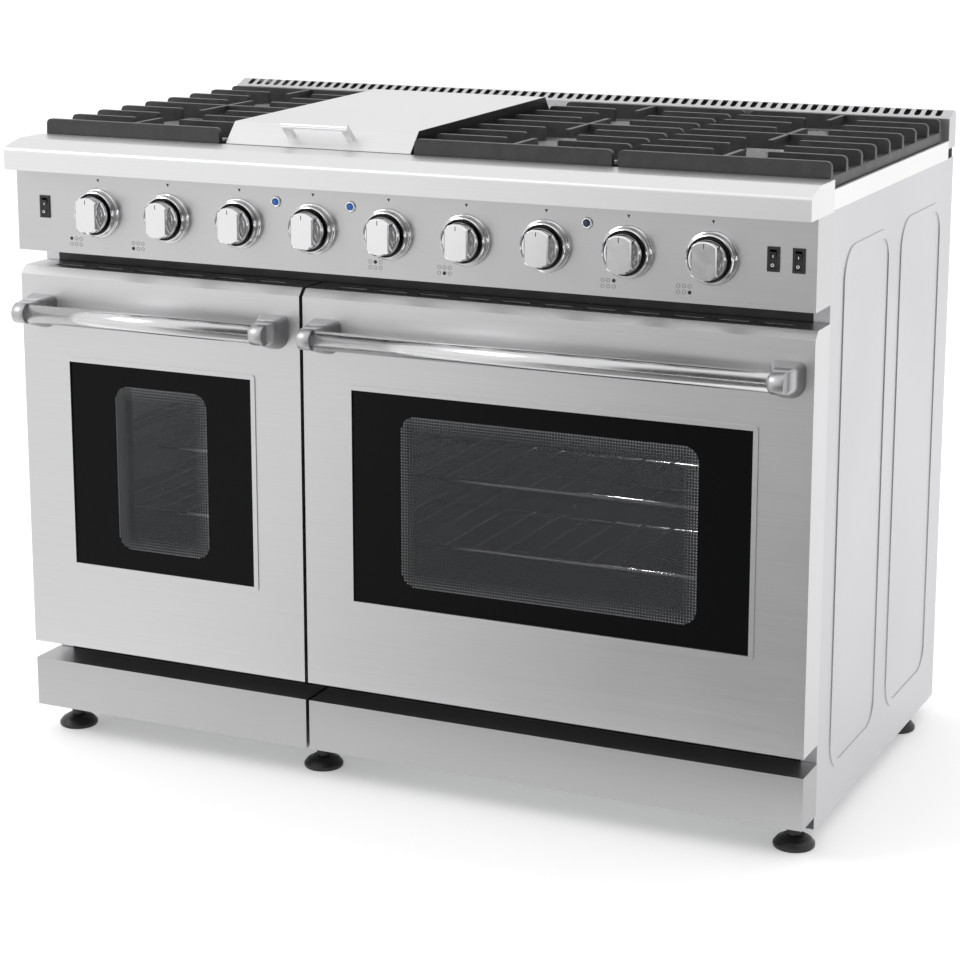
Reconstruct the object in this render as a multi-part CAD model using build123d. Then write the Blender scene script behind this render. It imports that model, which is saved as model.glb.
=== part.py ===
from build123d import *
import math
import os

# A free-standing double-oven gas range: six burners, a covered griddle and two drop-down doors.
# Millimetres. X runs to the right, Y back from the control panel's face, Z up from the floor.
# save() moves everything so that the origin is the middle of the footprint, on the floor.

# ---- Body ----
WIDTH = 1216.0                # over the two sides
BACK = 679.0                  # control panel face to the rear face
BODY_FRONT = 67.0             # front edge of the side panels
SHEET = 1.5                   # outer sheet metal
FIT = 0.3                     # clearance between pieces of different bodies that lie together
SLIP = 0.2                    # clearance between pieces of one body that slip together
RUNNING = 0.05                # radial clearance of a shaft in its bore
SIDE_Z0 = 26.0                # side panel bottom edge
SIDE_Z1 = 875.0               # side panel top edge
RIB_PROUD = 1.5               # stamped outline on the side panels
RIB_WIDE = 12.0
FLANGE = 22.0                 # folded edges of the side panels
BOTTOM_FOLD = 14.0            # the fold along their bottom edge, clear of the feet

# ---- Front, from the floor up ----
KICK_Z0 = 48.0
KICK_Z1 = 122.5
KICK_FRONT = 4.0
KICK_ROOM = 2.0               # toe boards' return ends this far before the side panels
DOOR_Z0 = 150.0
DOOR_Z1 = 727.0
DOOR_FRONT = 2.0
DOOR_ROOM = 3.0               # closed doors' rear faces before the front frame
DOOR_ROLL = 11.0              # bevel along the top front edge
SPLIT_X = -140.0              # middle of the gap between the doors
SPLIT_GAP = 5.4
PANEL_Z0 = 752.0
PANEL_Z1 = 873.0
PANEL_T = 2.0
NOSE_FRONT = 30.0             # how far the top rail stands in front of the panel
NOSE_Z1 = 905.0               # top of the rail's front face
NOSE_BEVEL = 39.0             # depth of the sloping strip behind that face
NOSE_T = 2.0
DECK_Z = 915.0                # flat top of the rail

# ---- Doors ----
GLASS_ABOVE = 133.0           # glass above the door's bottom edge
GLASS_BELOW = 137.0           # and below its top edge
GLASS_OUTER = 80.0            # glass in from the door's end at the range's side
LEFT_GLASS_INNER = 80.3       # and from the end beside the other door
RIGHT_GLASS_INNER = 76.3
GLASS_RIM = 7.0               # raised frame around each glass
RIM_PROUD = 1.5
GLASS_LAP = 9.0               # glass held behind the skin all round
GLASS_T = 4.0
INNER_IN_X = 66.0             # inner window is smaller than the outer glass by this at each side
INNER_IN_Z = 20.0             # and by this at the top and bottom
HANDLE_R = 14.5
HANDLE_OUT = 64.0             # bar axis in front of the panel's face
HANDLE_DROP = 53.0            # bar axis below the door's top edge
HANDLE_OUTER = 25.0           # bracket in from the door's end at the range's side
LEFT_HANDLE_INNER = 22.3      # and from the end beside the other door
RIGHT_HANDLE_INNER = 25.3
COLLAR_R = 16.5
COLLAR_LONG = 34.0
SOCKET_DEEP = 26.0            # how far the bar enters its collar
HANDLE_WALL = 2.0
BRACKET_RISE = 24.0           # how far the bracket climbs above the bar where it meets the door
HINGE_DEPTH = 34.0            # hinge axis behind the panel's face
HINGE_RISE = 8.0              # hinge axis above the door's bottom edge
HINGE_OUTER = 40.0            # hinge arm in from the door's end at the range's side
HINGE_INNER = 29.0            # and at the end beside the other door
HINGE_PIN_R = 4.0
HINGE_ARM_T = 6.0
HINGE_ARM_TALL = 13.0
HINGE_SIDE = 0.5              # free space each side of an arm
CHEEK_T = 3.0

# ---- Oven cavities ----
CAVITY_ABOVE = 50.0           # oven floor above the doors' bottom edge
CAVITY_BELOW = 77.0           # oven roof below the doors' top edge
CAVITY_REAR = 81.0            # oven rear wall in front of the rear face
CAVITY_OUTER = 35.0           # oven wall in from the door's end at the range's side
CAVITY_INNER = 35.3           # and from the end beside the other door
LIP = 14.0                    # flange around each mouth
FACE_T = 2.0
RACK_LEVELS = (149.0, 249.0)  # racks above the oven floor
RACK_FRONT = 100.0
RACK_REAR = 14.0              # racks in front of the fan cover
RACK_WIRE_R = 2.2
RACK_FRAME_R = 3.5
RACK_PITCH = 45.0
RUNNER_R = 3.0
SIDE_ROOM = 2.0               # rack to oven wall
FAN_R = 78.0
FAN_BLADES = 8
FAN_COVER_R = 105.0
FAN_COVER_DEEP = 44.0
MOTOR_R = 42.0
MOTOR_LONG = 52.0
SHAFT_R = 4.0

# ---- Knobs and controls ----
KNOBS = 9
KNOB_PITCH = 117.0
KNOB_RISE = 62.0              # knob axes above the panel's bottom edge
BEZEL_R = 36.0
BEZEL_BORE_R = 29.6
BEZEL_TALL = 15.5
SKIRT_R = 26.3
SKIRT_BACK = 5.0              # knob's rear face in front of the panel
SKIRT_FRONT = 23.0
GRIP_WIDE = 35.0
GRIP_FRONT = 36.0
KNOB_PUSH = 3.0
STEM_R = 4.0
STEM_FRONT = 19.0
STEM_BACK = 34.0
VALVE_WIDE = 26.0
VALVE_FRONT = 10.0
VALVE_BACK = 46.0
MANIFOLD_R = 11.0
STRAP_WIDE = 20.0             # straps that stand the manifold on the panel's lower fold
PIPE_R = 10.67                # half-inch gas pipe
PIPE_WALL = 2.4
PIPE_BEND = 28.0
INLET_IN = 108.0              # gas inlet in from the range's right side
INLET_Z = 112.0
RISER_BACK = 44.0             # riser axis in front of the rear face
LAMP_AFTER = (3, 4, 7)        # each lamp is midway from this knob to the next
LAMP_RISE = 34.0              # lamps above the knobs' axes
LAMP_R = 8.0
SWITCH_IN = (48.0, 58.0, 24.0)  # left switch, then the two right ones, in from their sides
SWITCH_RISE = 4.0
SWITCH_WIDE = 16.5
SWITCH_TALL = 32.5
SWITCH_WALL = 1.8
ROCKER_TILT = 7.0             # degrees each way from level

# ---- Cooktop ----
EDGE = 3.0                    # grates in from the range's sides
COLUMN_GAP = 8.0
GRATE_FRONT = 75.0
GRATE_ROWS = 9
GRATE_REAR = 26.0             # last row in front of the rear guard
BLADE_T = 9.0
BLADE_Z0 = 914.5
GRATE_Z1 = 937.0
FINGER = 108.0                # length of a finger from the grate's side
CENTRE_BAR = 78.0             # centre bars reach this far from the full-length rows
RAIL_T = 11.0
RAIL_Z0 = 899.0
RAIL_Z1 = 917.0
PAN_Z = 890.0
TRIM_Z1 = 902.0
GUARD_DEEP = 38.0
GUARD_Z0 = 935.0              # rear guard's top at its front edge
GUARD_Z1 = 945.0              # and at its rear edge
SLOT_PITCH = 16.1
SLOT_WIDE = 9.0
SLOT_LONG = 21.0
BURNER_R = 46.0
THROAT_R = 22.0
CAP_R = 38.0
BURNER_Z1 = 914.0
CAP_T = 9.0
PORTS = 24
PLATE_T = 10.0
PLATE_Z = 897.0               # underside of the griddle plate
PLATE_RIM = 8.0
COVER_T = 2.0
COVER_Z0 = 915.0
COVER_FRONT = 75.0
COVER_SLOPE = 28.0
COVER_Z1 = 944.0              # top of the cover at the front
COVER_Z2 = 950.0              # and at the rear
COVER_DECK = 96.0             # from where the rear slope begins to the rear guard
COVER_HANDLE = 105.0
COVER_HANDLE_R = 4.5
COVER_HANDLE_OUT = 24.0
MOUTH_LAP = 18.0              # hole over the griddle's burner in from the griddle's sides
TUBE_FRONT = 35.0             # griddle burner in from the griddle's front
TUBE_REAR = 25.0              # and from the cover's rear slope
TUBE_APART = 70.0             # each burner tube from the griddle's middle
TUBE_CROSS = 20.0             # its cross tubes in from the tubes' ends
HANGER_IN = 90.0              # and its hangers
HANGER_T = 6.0

# ---- Base ----
BEAM_WIDE = 38.0
BEAM_Z0 = 50.0
BEAM_Z1 = 76.0
BEAM_T = 2.5
FOOT_IN = 30.0                # outer feet in from the sides
FOOT_PAST = 8.0               # middle feet to the left of the gap between the doors
FOOT_FRONT = 66.0
FOOT_REAR = 104.0             # rear feet in front of the rear face
FOOT_R = 29.0
FOOT_TALL = 17.0
FOOT_STEM_R = 10.0
STUD_R = 6.0
TAB_IN = 120.0                # toe board tabs in from the ends of each board
TAB_WIDE = 26.0

# ---- Worked out ----
HALF = WIDTH / 2
PITCH = (WIDTH - 2 * EDGE) / 4
GRATE_WIDE = PITCH - COLUMN_GAP
COLUMNS = [(i - 1.5) * PITCH for i in range(4)]
KNOB_X = [(i - (KNOBS - 1) / 2) * KNOB_PITCH for i in range(KNOBS)]
KNOB_Z = PANEL_Z0 + KNOB_RISE
LAMP_X = [KNOB_X[knob - 1] + KNOB_PITCH / 2 for knob in LAMP_AFTER]
LAMP_Z = KNOB_Z + LAMP_RISE
SWITCH_X = (-HALF + SWITCH_IN[0], HALF - SWITCH_IN[1], HALF - SWITCH_IN[2])
SWITCH_Z = KNOB_Z + SWITCH_RISE
INLET_X = HALF - INLET_IN
GUARD_FRONT = BACK - GUARD_DEEP
COVER_REAR = GUARD_FRONT - COVER_DECK
GRIDDLE_MOUTH = GRATE_WIDE / 2 - MOUTH_LAP
GRATE_BACK = GUARD_FRONT - GRATE_REAR
ROW_PITCH = (GRATE_BACK - GRATE_FRONT) / (GRATE_ROWS - 1)
BURNER_Y = [GRATE_FRONT + row * ROW_PITCH for row in (2, 6)]
BURNER_COLUMNS = [COLUMNS[0], COLUMNS[2], COLUMNS[3]]
KICK_BACK = BODY_FRONT - KICK_ROOM
DOOR_BACK = BODY_FRONT - DOOR_ROOM
LEFT_DOOR = (-HALF, SPLIT_X - SPLIT_GAP / 2)
RIGHT_DOOR = (SPLIT_X + SPLIT_GAP / 2, HALF)
GLASS_Z0 = DOOR_Z0 + GLASS_ABOVE
GLASS_Z1 = DOOR_Z1 - GLASS_BELOW
LEFT_GLASS = (LEFT_DOOR[0] + GLASS_OUTER, LEFT_DOOR[1] - LEFT_GLASS_INNER)
RIGHT_GLASS = (RIGHT_DOOR[0] + RIGHT_GLASS_INNER, RIGHT_DOOR[1] - GLASS_OUTER)
HANDLE_Z = DOOR_Z1 - HANDLE_DROP
LEFT_HANDLE = (LEFT_DOOR[0] + HANDLE_OUTER, LEFT_DOOR[1] - LEFT_HANDLE_INNER)
RIGHT_HANDLE = (RIGHT_DOOR[0] + RIGHT_HANDLE_INNER, RIGHT_DOOR[1] - HANDLE_OUTER)
CAVITY_Z0 = DOOR_Z0 + CAVITY_ABOVE
CAVITY_Z1 = DOOR_Z1 - CAVITY_BELOW
CAVITY_BACK = BACK - CAVITY_REAR
LEFT_CAVITY = (LEFT_DOOR[0] + CAVITY_OUTER, LEFT_DOOR[1] - CAVITY_INNER)
RIGHT_CAVITY = (RIGHT_DOOR[0] + CAVITY_INNER, RIGHT_DOOR[1] - CAVITY_OUTER)
RACK_Z = [CAVITY_Z0 + level for level in RACK_LEVELS]
RACK_BACK = CAVITY_BACK - FAN_COVER_DEEP - RACK_REAR
FAN_Z = (CAVITY_Z0 + CAVITY_Z1) / 2
FOOT_X = (-HALF + FOOT_IN, SPLIT_X - FOOT_PAST, HALF - FOOT_IN)
FOOT_Y = (FOOT_FRONT, BACK - FOOT_REAR)
FACE_BACK = BODY_FRONT + FACE_T
HINGE_Z = DOOR_Z0 + HINGE_RISE
HANDLE_Y = -HANDLE_OUT
FRONTMOST = HANDLE_Y - COLLAR_R
MIDDLE_Y = (FRONTMOST + BACK) / 2
RISER_Y = BACK - RISER_BACK
MANIFOLD_Y = VALVE_BACK + MANIFOLD_R


def slab(x0, x1, y0, y1, z0, z1):
    """A box between two corners."""
    return Pos((x0 + x1) / 2, (y0 + y1) / 2, (z0 + z1) / 2) * Box(x1 - x0, y1 - y0, z1 - z0)


def rod_x(x0, x1, y, z, r):
    return Pos((x0 + x1) / 2, y, z) * Rot(0, 90, 0) * Cylinder(r, x1 - x0)


def rod_y(x, y0, y1, z, r):
    return Pos(x, (y0 + y1) / 2, z) * Rot(90, 0, 0) * Cylinder(r, y1 - y0)


def rod_z(x, y, z0, z1, r):
    return Pos(x, y, (z0 + z1) / 2) * Cylinder(r, z1 - z0)


def prism_x(points, x0, x1):
    """An outline of (Y, Z) points, pushed from x0 to x1."""
    outline = Polyline(*[(x0, y, z) for y, z in points], close=True)
    return extrude(make_face(outline), amount=x1 - x0, dir=(1, 0, 0))


def plate(x, z, y0, y1, radius):
    """An upright plate with rounded corners between the pairs x and z."""
    face = RectangleRounded(x[1] - x[0], z[1] - z[0], radius)
    placed = Pos((x[0] + x[1]) / 2, y0, (z[0] + z[1]) / 2) * Rot(90, 0, 0) * face
    return extrude(placed, amount=y1 - y0, dir=(0, 1, 0))


def turned(points, x, z):
    """A piece turned about an axis along Y; points are (radius, Y)."""
    outline = make_face(Polyline(*[(r, y, 0) for r, y in points], close=True))
    return Pos(x, 0, z) * revolve(outline, Axis.Y)


def group(pieces):
    """Separate solids that share one node."""
    solids = []
    for piece in pieces:
        solids.extend(piece.solids())
    return Compound(solids)


def mirrored(pieces):
    return list(pieces) + [mirror(piece, Plane.YZ) for piece in pieces]


# ---- Cabinet ----

def side_panel():
    """The right side: a sheet with folded edges and two stamped outlines."""
    outer = HALF - RIB_PROUD
    inner = outer - SHEET
    panel = slab(inner, outer, BODY_FRONT, BACK - SHEET, SIDE_Z0, SIDE_Z1)
    fold_in = outer - FLANGE
    fold_z = BEAM_Z1 + SHEET
    panel += slab(fold_in, outer, BODY_FRONT, BODY_FRONT + SHEET, fold_z, SIDE_Z1)
    panel += slab(fold_in, outer, BACK - 2 * SHEET, BACK - SHEET, fold_z, SIDE_Z1)
    panel += slab(outer - BOTTOM_FOLD, outer, BODY_FRONT, BACK - SHEET, SIDE_Z0, SIDE_Z0 + SHEET)
    panel += slab(fold_in, outer, BODY_FRONT, BACK - SHEET, SIDE_Z1 - SHEET, SIDE_Z1)
    margin = 58.0
    middle = (BODY_FRONT + BACK) / 2
    gap = 26.0
    spans = [(BODY_FRONT + margin, middle - gap), (middle + gap, BACK - margin)]
    for y0, y1 in spans:
        tall = SIDE_Z1 - SIDE_Z0 - 2 * margin
        centre = Pos(outer, (y0 + y1) / 2, (SIDE_Z0 + SIDE_Z1) / 2) * Rot(0, 90, 0)
        ring = RectangleRounded(tall, y1 - y0, 46)
        ring -= RectangleRounded(tall - 2 * RIB_WIDE, y1 - y0 - 2 * RIB_WIDE, 46 - RIB_WIDE)
        panel += extrude(centre * ring, amount=RIB_PROUD, dir=(1, 0, 0))
    return panel


def back_panel():
    """The rear sheet with louvre slots and cut-outs for the gas pipe and the power inlet."""
    sheet = slab(-HALF + 4, HALF - 4, BACK - SHEET, BACK, SIDE_Z0 + 14, PAN_Z)
    cuts = [rod_y(INLET_X, BACK - 9, BACK + 9, INLET_Z, 3 * PIPE_R)]
    cuts.append(slab(INLET_X - 84, INLET_X - 52, BACK - 9, BACK + 9, INLET_Z - 12, INLET_Z + 12))
    for bank in (-1, 0, 1):
        for row in range(8):
            x = bank * WIDTH / 3.4
            z = PAN_Z - 70 - row * 16
            cuts.append(plate((x - 95, x + 95), (z - 3, z + 3), BACK - 9, BACK + 9, 2.9))
    return sheet - cuts


def power_inlet():
    """The three-pin inlet in the back panel, set into its cut-out."""
    x = INLET_X - 68
    shell = slab(x - 16 + SLIP, x + 16 - SLIP, BACK - 26, BACK, INLET_Z - 12 + SLIP, INLET_Z + 12 - SLIP)
    shell -= slab(x - 12, x + 12, BACK - 18, BACK + 1, INLET_Z - 8, INLET_Z + 8)
    for pin in (-7, 0, 7):
        shell += slab(x + pin - 1.5, x + pin + 1.5, BACK - 20, BACK - 4, INLET_Z - 3, INLET_Z + 3)
    return shell


def base_frame():
    """Open-bottomed beams over the feet, the floor sheet on them and tabs that carry the toe boards."""
    reach = HALF - RIB_PROUD - SHEET - SLIP
    front = FOOT_Y[0] - BEAM_WIDE / 2
    rear = BACK - 2 * SHEET - SLIP
    runs = [(-reach, reach, front, front + BEAM_WIDE)]
    runs.append((-reach, reach, FOOT_Y[1] - BEAM_WIDE / 2, FOOT_Y[1] + BEAM_WIDE / 2))
    for x in FOOT_X:
        runs.append((x - BEAM_WIDE / 2, x + BEAM_WIDE / 2, front, rear))
    outer = [slab(x0, x1, y0, y1, BEAM_Z0, BEAM_Z1) for x0, x1, y0, y1 in runs]
    for x0, x1 in (LEFT_DOOR, RIGHT_DOOR):
        for x in (x0 + TAB_IN, x1 - TAB_IN):
            outer.append(slab(x - TAB_WIDE / 2, x + TAB_WIDE / 2, KICK_FRONT + SHEET, front + 1,
                              BEAM_Z1 - SHEET, BEAM_Z1))
    t = BEAM_T
    inner = [slab(x0 + t, x1 - t, y0 + t, y1 - t, BEAM_Z0 - 1, BEAM_Z1 - t) for x0, x1, y0, y1 in runs]
    frame = Part() + outer + slab(-reach, reach, front, rear, BEAM_Z1 - SHEET, BEAM_Z1)
    frame -= inner
    return frame - [rod_z(x, y, BEAM_Z0, BEAM_Z1 + 1, STUD_R + SLIP) for x in FOOT_X for y in FOOT_Y]


def levelling_foot(x, y):
    """A cup on a threaded stem that shoulders under the beam."""
    profile = [(0, 0), (FOOT_R - 1.5, 0), (FOOT_R, 2), (FOOT_R, 6), (FOOT_R - 5, 12),
               (FOOT_STEM_R + 5, FOOT_TALL), (FOOT_STEM_R, FOOT_TALL), (FOOT_STEM_R, BEAM_Z1 - BEAM_T),
               (STUD_R, BEAM_Z1 - BEAM_T), (STUD_R, BEAM_Z1 + 14), (0, BEAM_Z1 + 14)]
    outline = make_face(Polyline(*[(r, 0, z) for r, z in profile], close=True))
    return Pos(x, y, 0) * revolve(outline, Axis.Z)


def kick_panel(x0, x1, outer_left):
    """A folded toe board: face, hemmed top, short bottom fold, and a deep return on its outer end."""
    board = slab(x0, x1, KICK_FRONT, KICK_FRONT + SHEET, KICK_Z0, KICK_Z1)
    board += slab(x0, x1, KICK_FRONT, KICK_BACK, KICK_Z1 - SHEET, KICK_Z1)
    board += slab(x0, x1, KICK_FRONT, KICK_FRONT + 16, KICK_Z0, KICK_Z0 + SHEET)
    ends = ((x0, x0 + SHEET, outer_left), (x1 - SHEET, x1, not outer_left))
    for end0, end1, outer in ends:
        depth = KICK_BACK if outer else KICK_FRONT + 30
        board += slab(end0, end1, KICK_FRONT, depth, KICK_Z0, KICK_Z1)
    return board


def front_frame():
    """The face that the doors close on, with two mouths and the slots that the hinge arms pass."""
    reach = HALF - RIB_PROUD - FLANGE - SLIP
    face = slab(-reach, reach, BODY_FRONT, FACE_BACK, KICK_Z1 - SHEET, PANEL_Z0 + SHEET)
    mouths = []
    for x0, x1 in (LEFT_CAVITY, RIGHT_CAVITY):
        mouths.append(plate((x0, x1), (CAVITY_Z0, CAVITY_Z1), BODY_FRONT - 1, FACE_BACK + 1, 10))
    slots = []
    for x in hinge_places():
        half_t = HINGE_ARM_T / 2 + HINGE_SIDE
        tall = HINGE_ARM_TALL / 2 + 2
        slots.append(slab(x - half_t, x + half_t, BODY_FRONT - 1, FACE_BACK + 1, HINGE_Z - tall, HINGE_Z + tall))
    return face - mouths - slots


def hinge_places():
    """The X of each hinge arm, two to a door."""
    left = [LEFT_DOOR[0] + HINGE_OUTER, LEFT_DOOR[1] - HINGE_INNER]
    right = [RIGHT_DOOR[0] + HINGE_INNER, RIGHT_DOOR[1] - HINGE_OUTER]
    return left + right


def hinge_arm(x):
    """An arm bolted behind the front frame, with an eye around the door's pin."""
    half_t = HINGE_ARM_T / 2
    tall = HINGE_ARM_TALL / 2
    arm = slab(x - half_t, x + half_t, HINGE_DEPTH, FACE_BACK + 40, HINGE_Z - tall, HINGE_Z + tall)
    arm += rod_x(x - half_t, x + half_t, HINGE_DEPTH, HINGE_Z, tall)
    foot = slab(x - half_t - 14, x + half_t + 14, FACE_BACK, FACE_BACK + 3, HINGE_Z - 20, HINGE_Z + 20)
    return arm + foot - rod_x(x - 20, x + 20, HINGE_DEPTH, HINGE_Z, HINGE_PIN_R + RUNNING)


# ---- Top rail and control panel ----

def nose_profile(inset):
    """The rail's outline in (Y, Z), moved in by a wall thickness."""
    slope = (DECK_Z - NOSE_Z1) / NOSE_BEVEL
    front = -NOSE_FRONT + inset
    drop = inset * math.sqrt(1 + slope * slope)
    bevel_back = -NOSE_FRONT + NOSE_BEVEL
    top = DECK_Z - inset
    points = [(front, PANEL_Z1 + inset), (front, NOSE_Z1 + slope * inset - drop)]
    points += [(bevel_back + (drop - inset) / slope, top), (BODY_FRONT, top)]
    return points


def bullnose_rail():
    outer = nose_profile(0) + [(BODY_FRONT, PANEL_Z1)]
    rail = prism_x(outer, -HALF, HALF)
    rounded = rail.edges().filter_by(Axis.X).sort_by(Axis.Y)
    lip = [edge for edge in rounded if abs(edge.center().Z - NOSE_Z1) < 0.5]
    brow = [edge for edge in rounded if abs(edge.center().Z - DECK_Z) < 0.5 and edge.center().Y < BODY_FRONT - 1]
    rail = fillet(lip, 6.0)
    brow = [e for e in rail.edges().filter_by(Axis.X) if (e.center() - brow[0].center()).length < 0.5]
    rail = fillet(brow, 30.0)
    hollow = nose_profile(NOSE_T)[:3] + [(BODY_FRONT + 1, DECK_Z - NOSE_T), (BODY_FRONT + 1, PANEL_Z1 - 1),
                                         (PANEL_T + 6, PANEL_Z1 - 1), (PANEL_T + 6, PANEL_Z1 + NOSE_T)]
    return rail - prism_x(hollow, -HALF + NOSE_T, HALF - NOSE_T)


def control_panel():
    """The folded panel, open at the back and under the rail."""
    t = PANEL_T
    panel = slab(-HALF, HALF, 0, BODY_FRONT, PANEL_Z0, PANEL_Z1)
    panel -= slab(-HALF + t, HALF - t, t, BODY_FRONT + 1, PANEL_Z0 + t, PANEL_Z1 + 1)
    cuts = [rod_y(x, -1, t + 1, KNOB_Z, STEM_R + 2.5) for x in KNOB_X]
    cuts += [rod_y(x, -1, t + 1, LAMP_Z, LAMP_R - 2) for x in LAMP_X]
    wide = SWITCH_WIDE / 2 - SWITCH_WALL
    tall = SWITCH_TALL / 2 - SWITCH_WALL
    for x in SWITCH_X:
        cuts.append(slab(x - wide, x + wide, -1, t + 1, SWITCH_Z - tall, SWITCH_Z + tall))
    return panel - cuts


def knob_bezel(x):
    """A stepped ring with a rounded lip."""
    r = BEZEL_R
    h = BEZEL_TALL
    profile = [(BEZEL_BORE_R, 0), (r, 0), (r, -4.5), (r - 0.7, -5.6), (r - 2.2, -6.4), (r - 2.4, -h + 4.2),
               (r - 2.9, -h + 2), (r - 3.9, -h + 0.6), (r - 4.9, -h), (BEZEL_BORE_R + 0.8, -h + 0.3),
               (BEZEL_BORE_R, -h + 1.6)]
    return turned(profile, x, KNOB_Z)


def knob(x):
    """A round skirt with a groove, a wide flat grip across it, and a bore for the stem."""
    r = SKIRT_R
    profile = [(0, -SKIRT_BACK), (r - 1, -SKIRT_BACK), (r, -SKIRT_BACK - 1), (r, -SKIRT_FRONT + 2.2),
               (r - 0.8, -SKIRT_FRONT + 0.6), (r - 2.4, -SKIRT_FRONT), (r - 4.6, -SKIRT_FRONT),
               (r - 5.4, -SKIRT_FRONT + 1.2), (r - 6.6, -SKIRT_FRONT + 1.2), (r - 7.4, -SKIRT_FRONT),
               (0, -SKIRT_FRONT)]
    body = turned(profile, x, KNOB_Z)
    grip = rod_y(x, -GRIP_FRONT, -SKIRT_FRONT + 3, KNOB_Z, r - 0.6)
    grip &= slab(x - GRIP_WIDE / 2, x + GRIP_WIDE / 2, -99, 0, KNOB_Z - 99, KNOB_Z + 99)
    grip = chamfer(grip.faces().sort_by(Axis.Y)[0].edges(), 1.8)
    tick = slab(x - 0.6, x + 0.6, -GRIP_FRONT - 1, -GRIP_FRONT + 0.5, KNOB_Z + r - 9.5, KNOB_Z + r - 3.5)
    bore = rod_y(x, -STEM_FRONT - SLIP, 0, KNOB_Z, STEM_R + RUNNING)
    return body + grip - tick - bore


def valve_stem(x):
    """The rod that the knob turns on and pushes in, with a shoulder behind the panel."""
    rod = rod_y(x, -STEM_FRONT, STEM_BACK - KNOB_PUSH - SLIP, KNOB_Z, STEM_R)
    return rod + rod_y(x, PANEL_T + 1, PANEL_T + 3, KNOB_Z, STEM_R + 2)


def gas_valve(x):
    """A brass body that hangs on the manifold, with the stem's bore in its nose."""
    half_w = VALVE_WIDE / 2
    body = slab(x - half_w, x + half_w, VALVE_FRONT + 8, VALVE_BACK + 3, KNOB_Z - half_w, KNOB_Z + half_w)
    body += rod_y(x, VALVE_FRONT, VALVE_FRONT + 9, KNOB_Z, 10)
    body -= rod_x(x - 30, x + 30, MANIFOLD_Y, KNOB_Z, MANIFOLD_R)
    return body - rod_y(x, VALVE_FRONT - 1, STEM_BACK, KNOB_Z, STEM_R + RUNNING)


def gas_manifold():
    """The tube behind the valves and the supply pipe down to its nipple at the rear."""
    end = max(KNOB_X[-1] + 60, INLET_X + 28)
    tube = rod_x(KNOB_X[0] - 40, end, MANIFOLD_Y, KNOB_Z, MANIFOLD_R)
    route = FilletPolyline((INLET_X, MANIFOLD_Y, KNOB_Z), (INLET_X, RISER_Y, KNOB_Z), (INLET_X, RISER_Y, INLET_Z),
                           (INLET_X, BACK - 1, INLET_Z), radius=PIPE_BEND)
    start = Plane(origin=(INLET_X, MANIFOLD_Y, KNOB_Z), z_dir=(0, 1, 0))
    pipe = sweep(start * Circle(PIPE_R), path=route)
    pipe -= sweep(start * Circle(PIPE_R - PIPE_WALL), path=route)
    tube -= rod_x(KNOB_X[0] - 38, end - 2, MANIFOLD_Y, KNOB_Z, MANIFOLD_R - PIPE_WALL)
    pipe -= rod_x(KNOB_X[0], end, MANIFOLD_Y, KNOB_Z, MANIFOLD_R - PIPE_WALL)
    for x in (KNOB_X[1] + KNOB_PITCH / 2, KNOB_X[-2] - KNOB_PITCH / 2):
        strap = slab(x - STRAP_WIDE / 2, x + STRAP_WIDE / 2, MANIFOLD_Y - SHEET, MANIFOLD_Y + SHEET,
                     PANEL_Z0 + PANEL_T, KNOB_Z - MANIFOLD_R + 1)
        tube += strap
    return tube + pipe


def indicator_lamp(x):
    """A ring on the panel's face with a domed lens and its barrel behind."""
    profile = [(0, PANEL_T + 16), (LAMP_R - 2 - SLIP, PANEL_T + 16), (LAMP_R - 2 - SLIP, 0), (LAMP_R, 0),
               (LAMP_R, -1.6), (LAMP_R - 1, -2.4), (LAMP_R - 3, -2.4), (LAMP_R - 4, -3.6), (0, -4.4)]
    return turned(profile, x, LAMP_Z)


def switch_housing(x):
    """A rocker switch's frame and box, with a hole each side for the rocker's pivots."""
    w, h, t = SWITCH_WIDE / 2, SWITCH_TALL / 2, SWITCH_WALL
    box = slab(x - w, x + w, -2, 0, SWITCH_Z - h, SWITCH_Z + h)
    box += slab(x - w + t + SLIP, x + w - t - SLIP, 0, 20, SWITCH_Z - h + t + SLIP, SWITCH_Z + h - t - SLIP)
    wall = 2 * t
    box -= slab(x - w + wall, x + w - wall, -3, 18, SWITCH_Z - h + wall, SWITCH_Z + h - wall)
    return box - rod_x(x - w + wall - 1, x + w - wall + 1, 6, SWITCH_Z, 1.5 + RUNNING)


def rocker(x):
    """A two-facet rocker on its pivots, tipped to its off position."""
    w = SWITCH_WIDE / 2 - 2 * SWITCH_WALL - FIT
    h = SWITCH_TALL / 2 - 2 * SWITCH_WALL - 1.6
    body = prism_x([(7, SWITCH_Z - 5), (-2.8, SWITCH_Z - h), (-1.6, SWITCH_Z), (-2.8, SWITCH_Z + h),
                    (7, SWITCH_Z + 5)], x - w, x + w)
    body += rod_x(x - w - FIT - 0.7, x + w + FIT + 0.7, 6, SWITCH_Z, 1.5)
    return Pos(0, 6, SWITCH_Z) * Rot(ROCKER_TILT, 0, 0) * Pos(0, -6, -SWITCH_Z) * body


# ---- Doors ----

def door_outline(inset):
    """The skin's section in (Y, Z): a bevel along the top front edge and an open back."""
    roll = DOOR_ROLL - inset * (math.sqrt(2) - 1) * math.sqrt(2)
    front = DOOR_FRONT + inset
    top = DOOR_Z1 - inset
    back = DOOR_BACK + (1 if inset else 0)
    return [(front, DOOR_Z0 + inset), (front, top - roll), (front + roll, top), (back, top),
            (back, DOOR_Z0 + inset)]


def door_hinges_of(door):
    return [x for x in hinge_places() if door[0] < x < door[1]]


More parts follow.
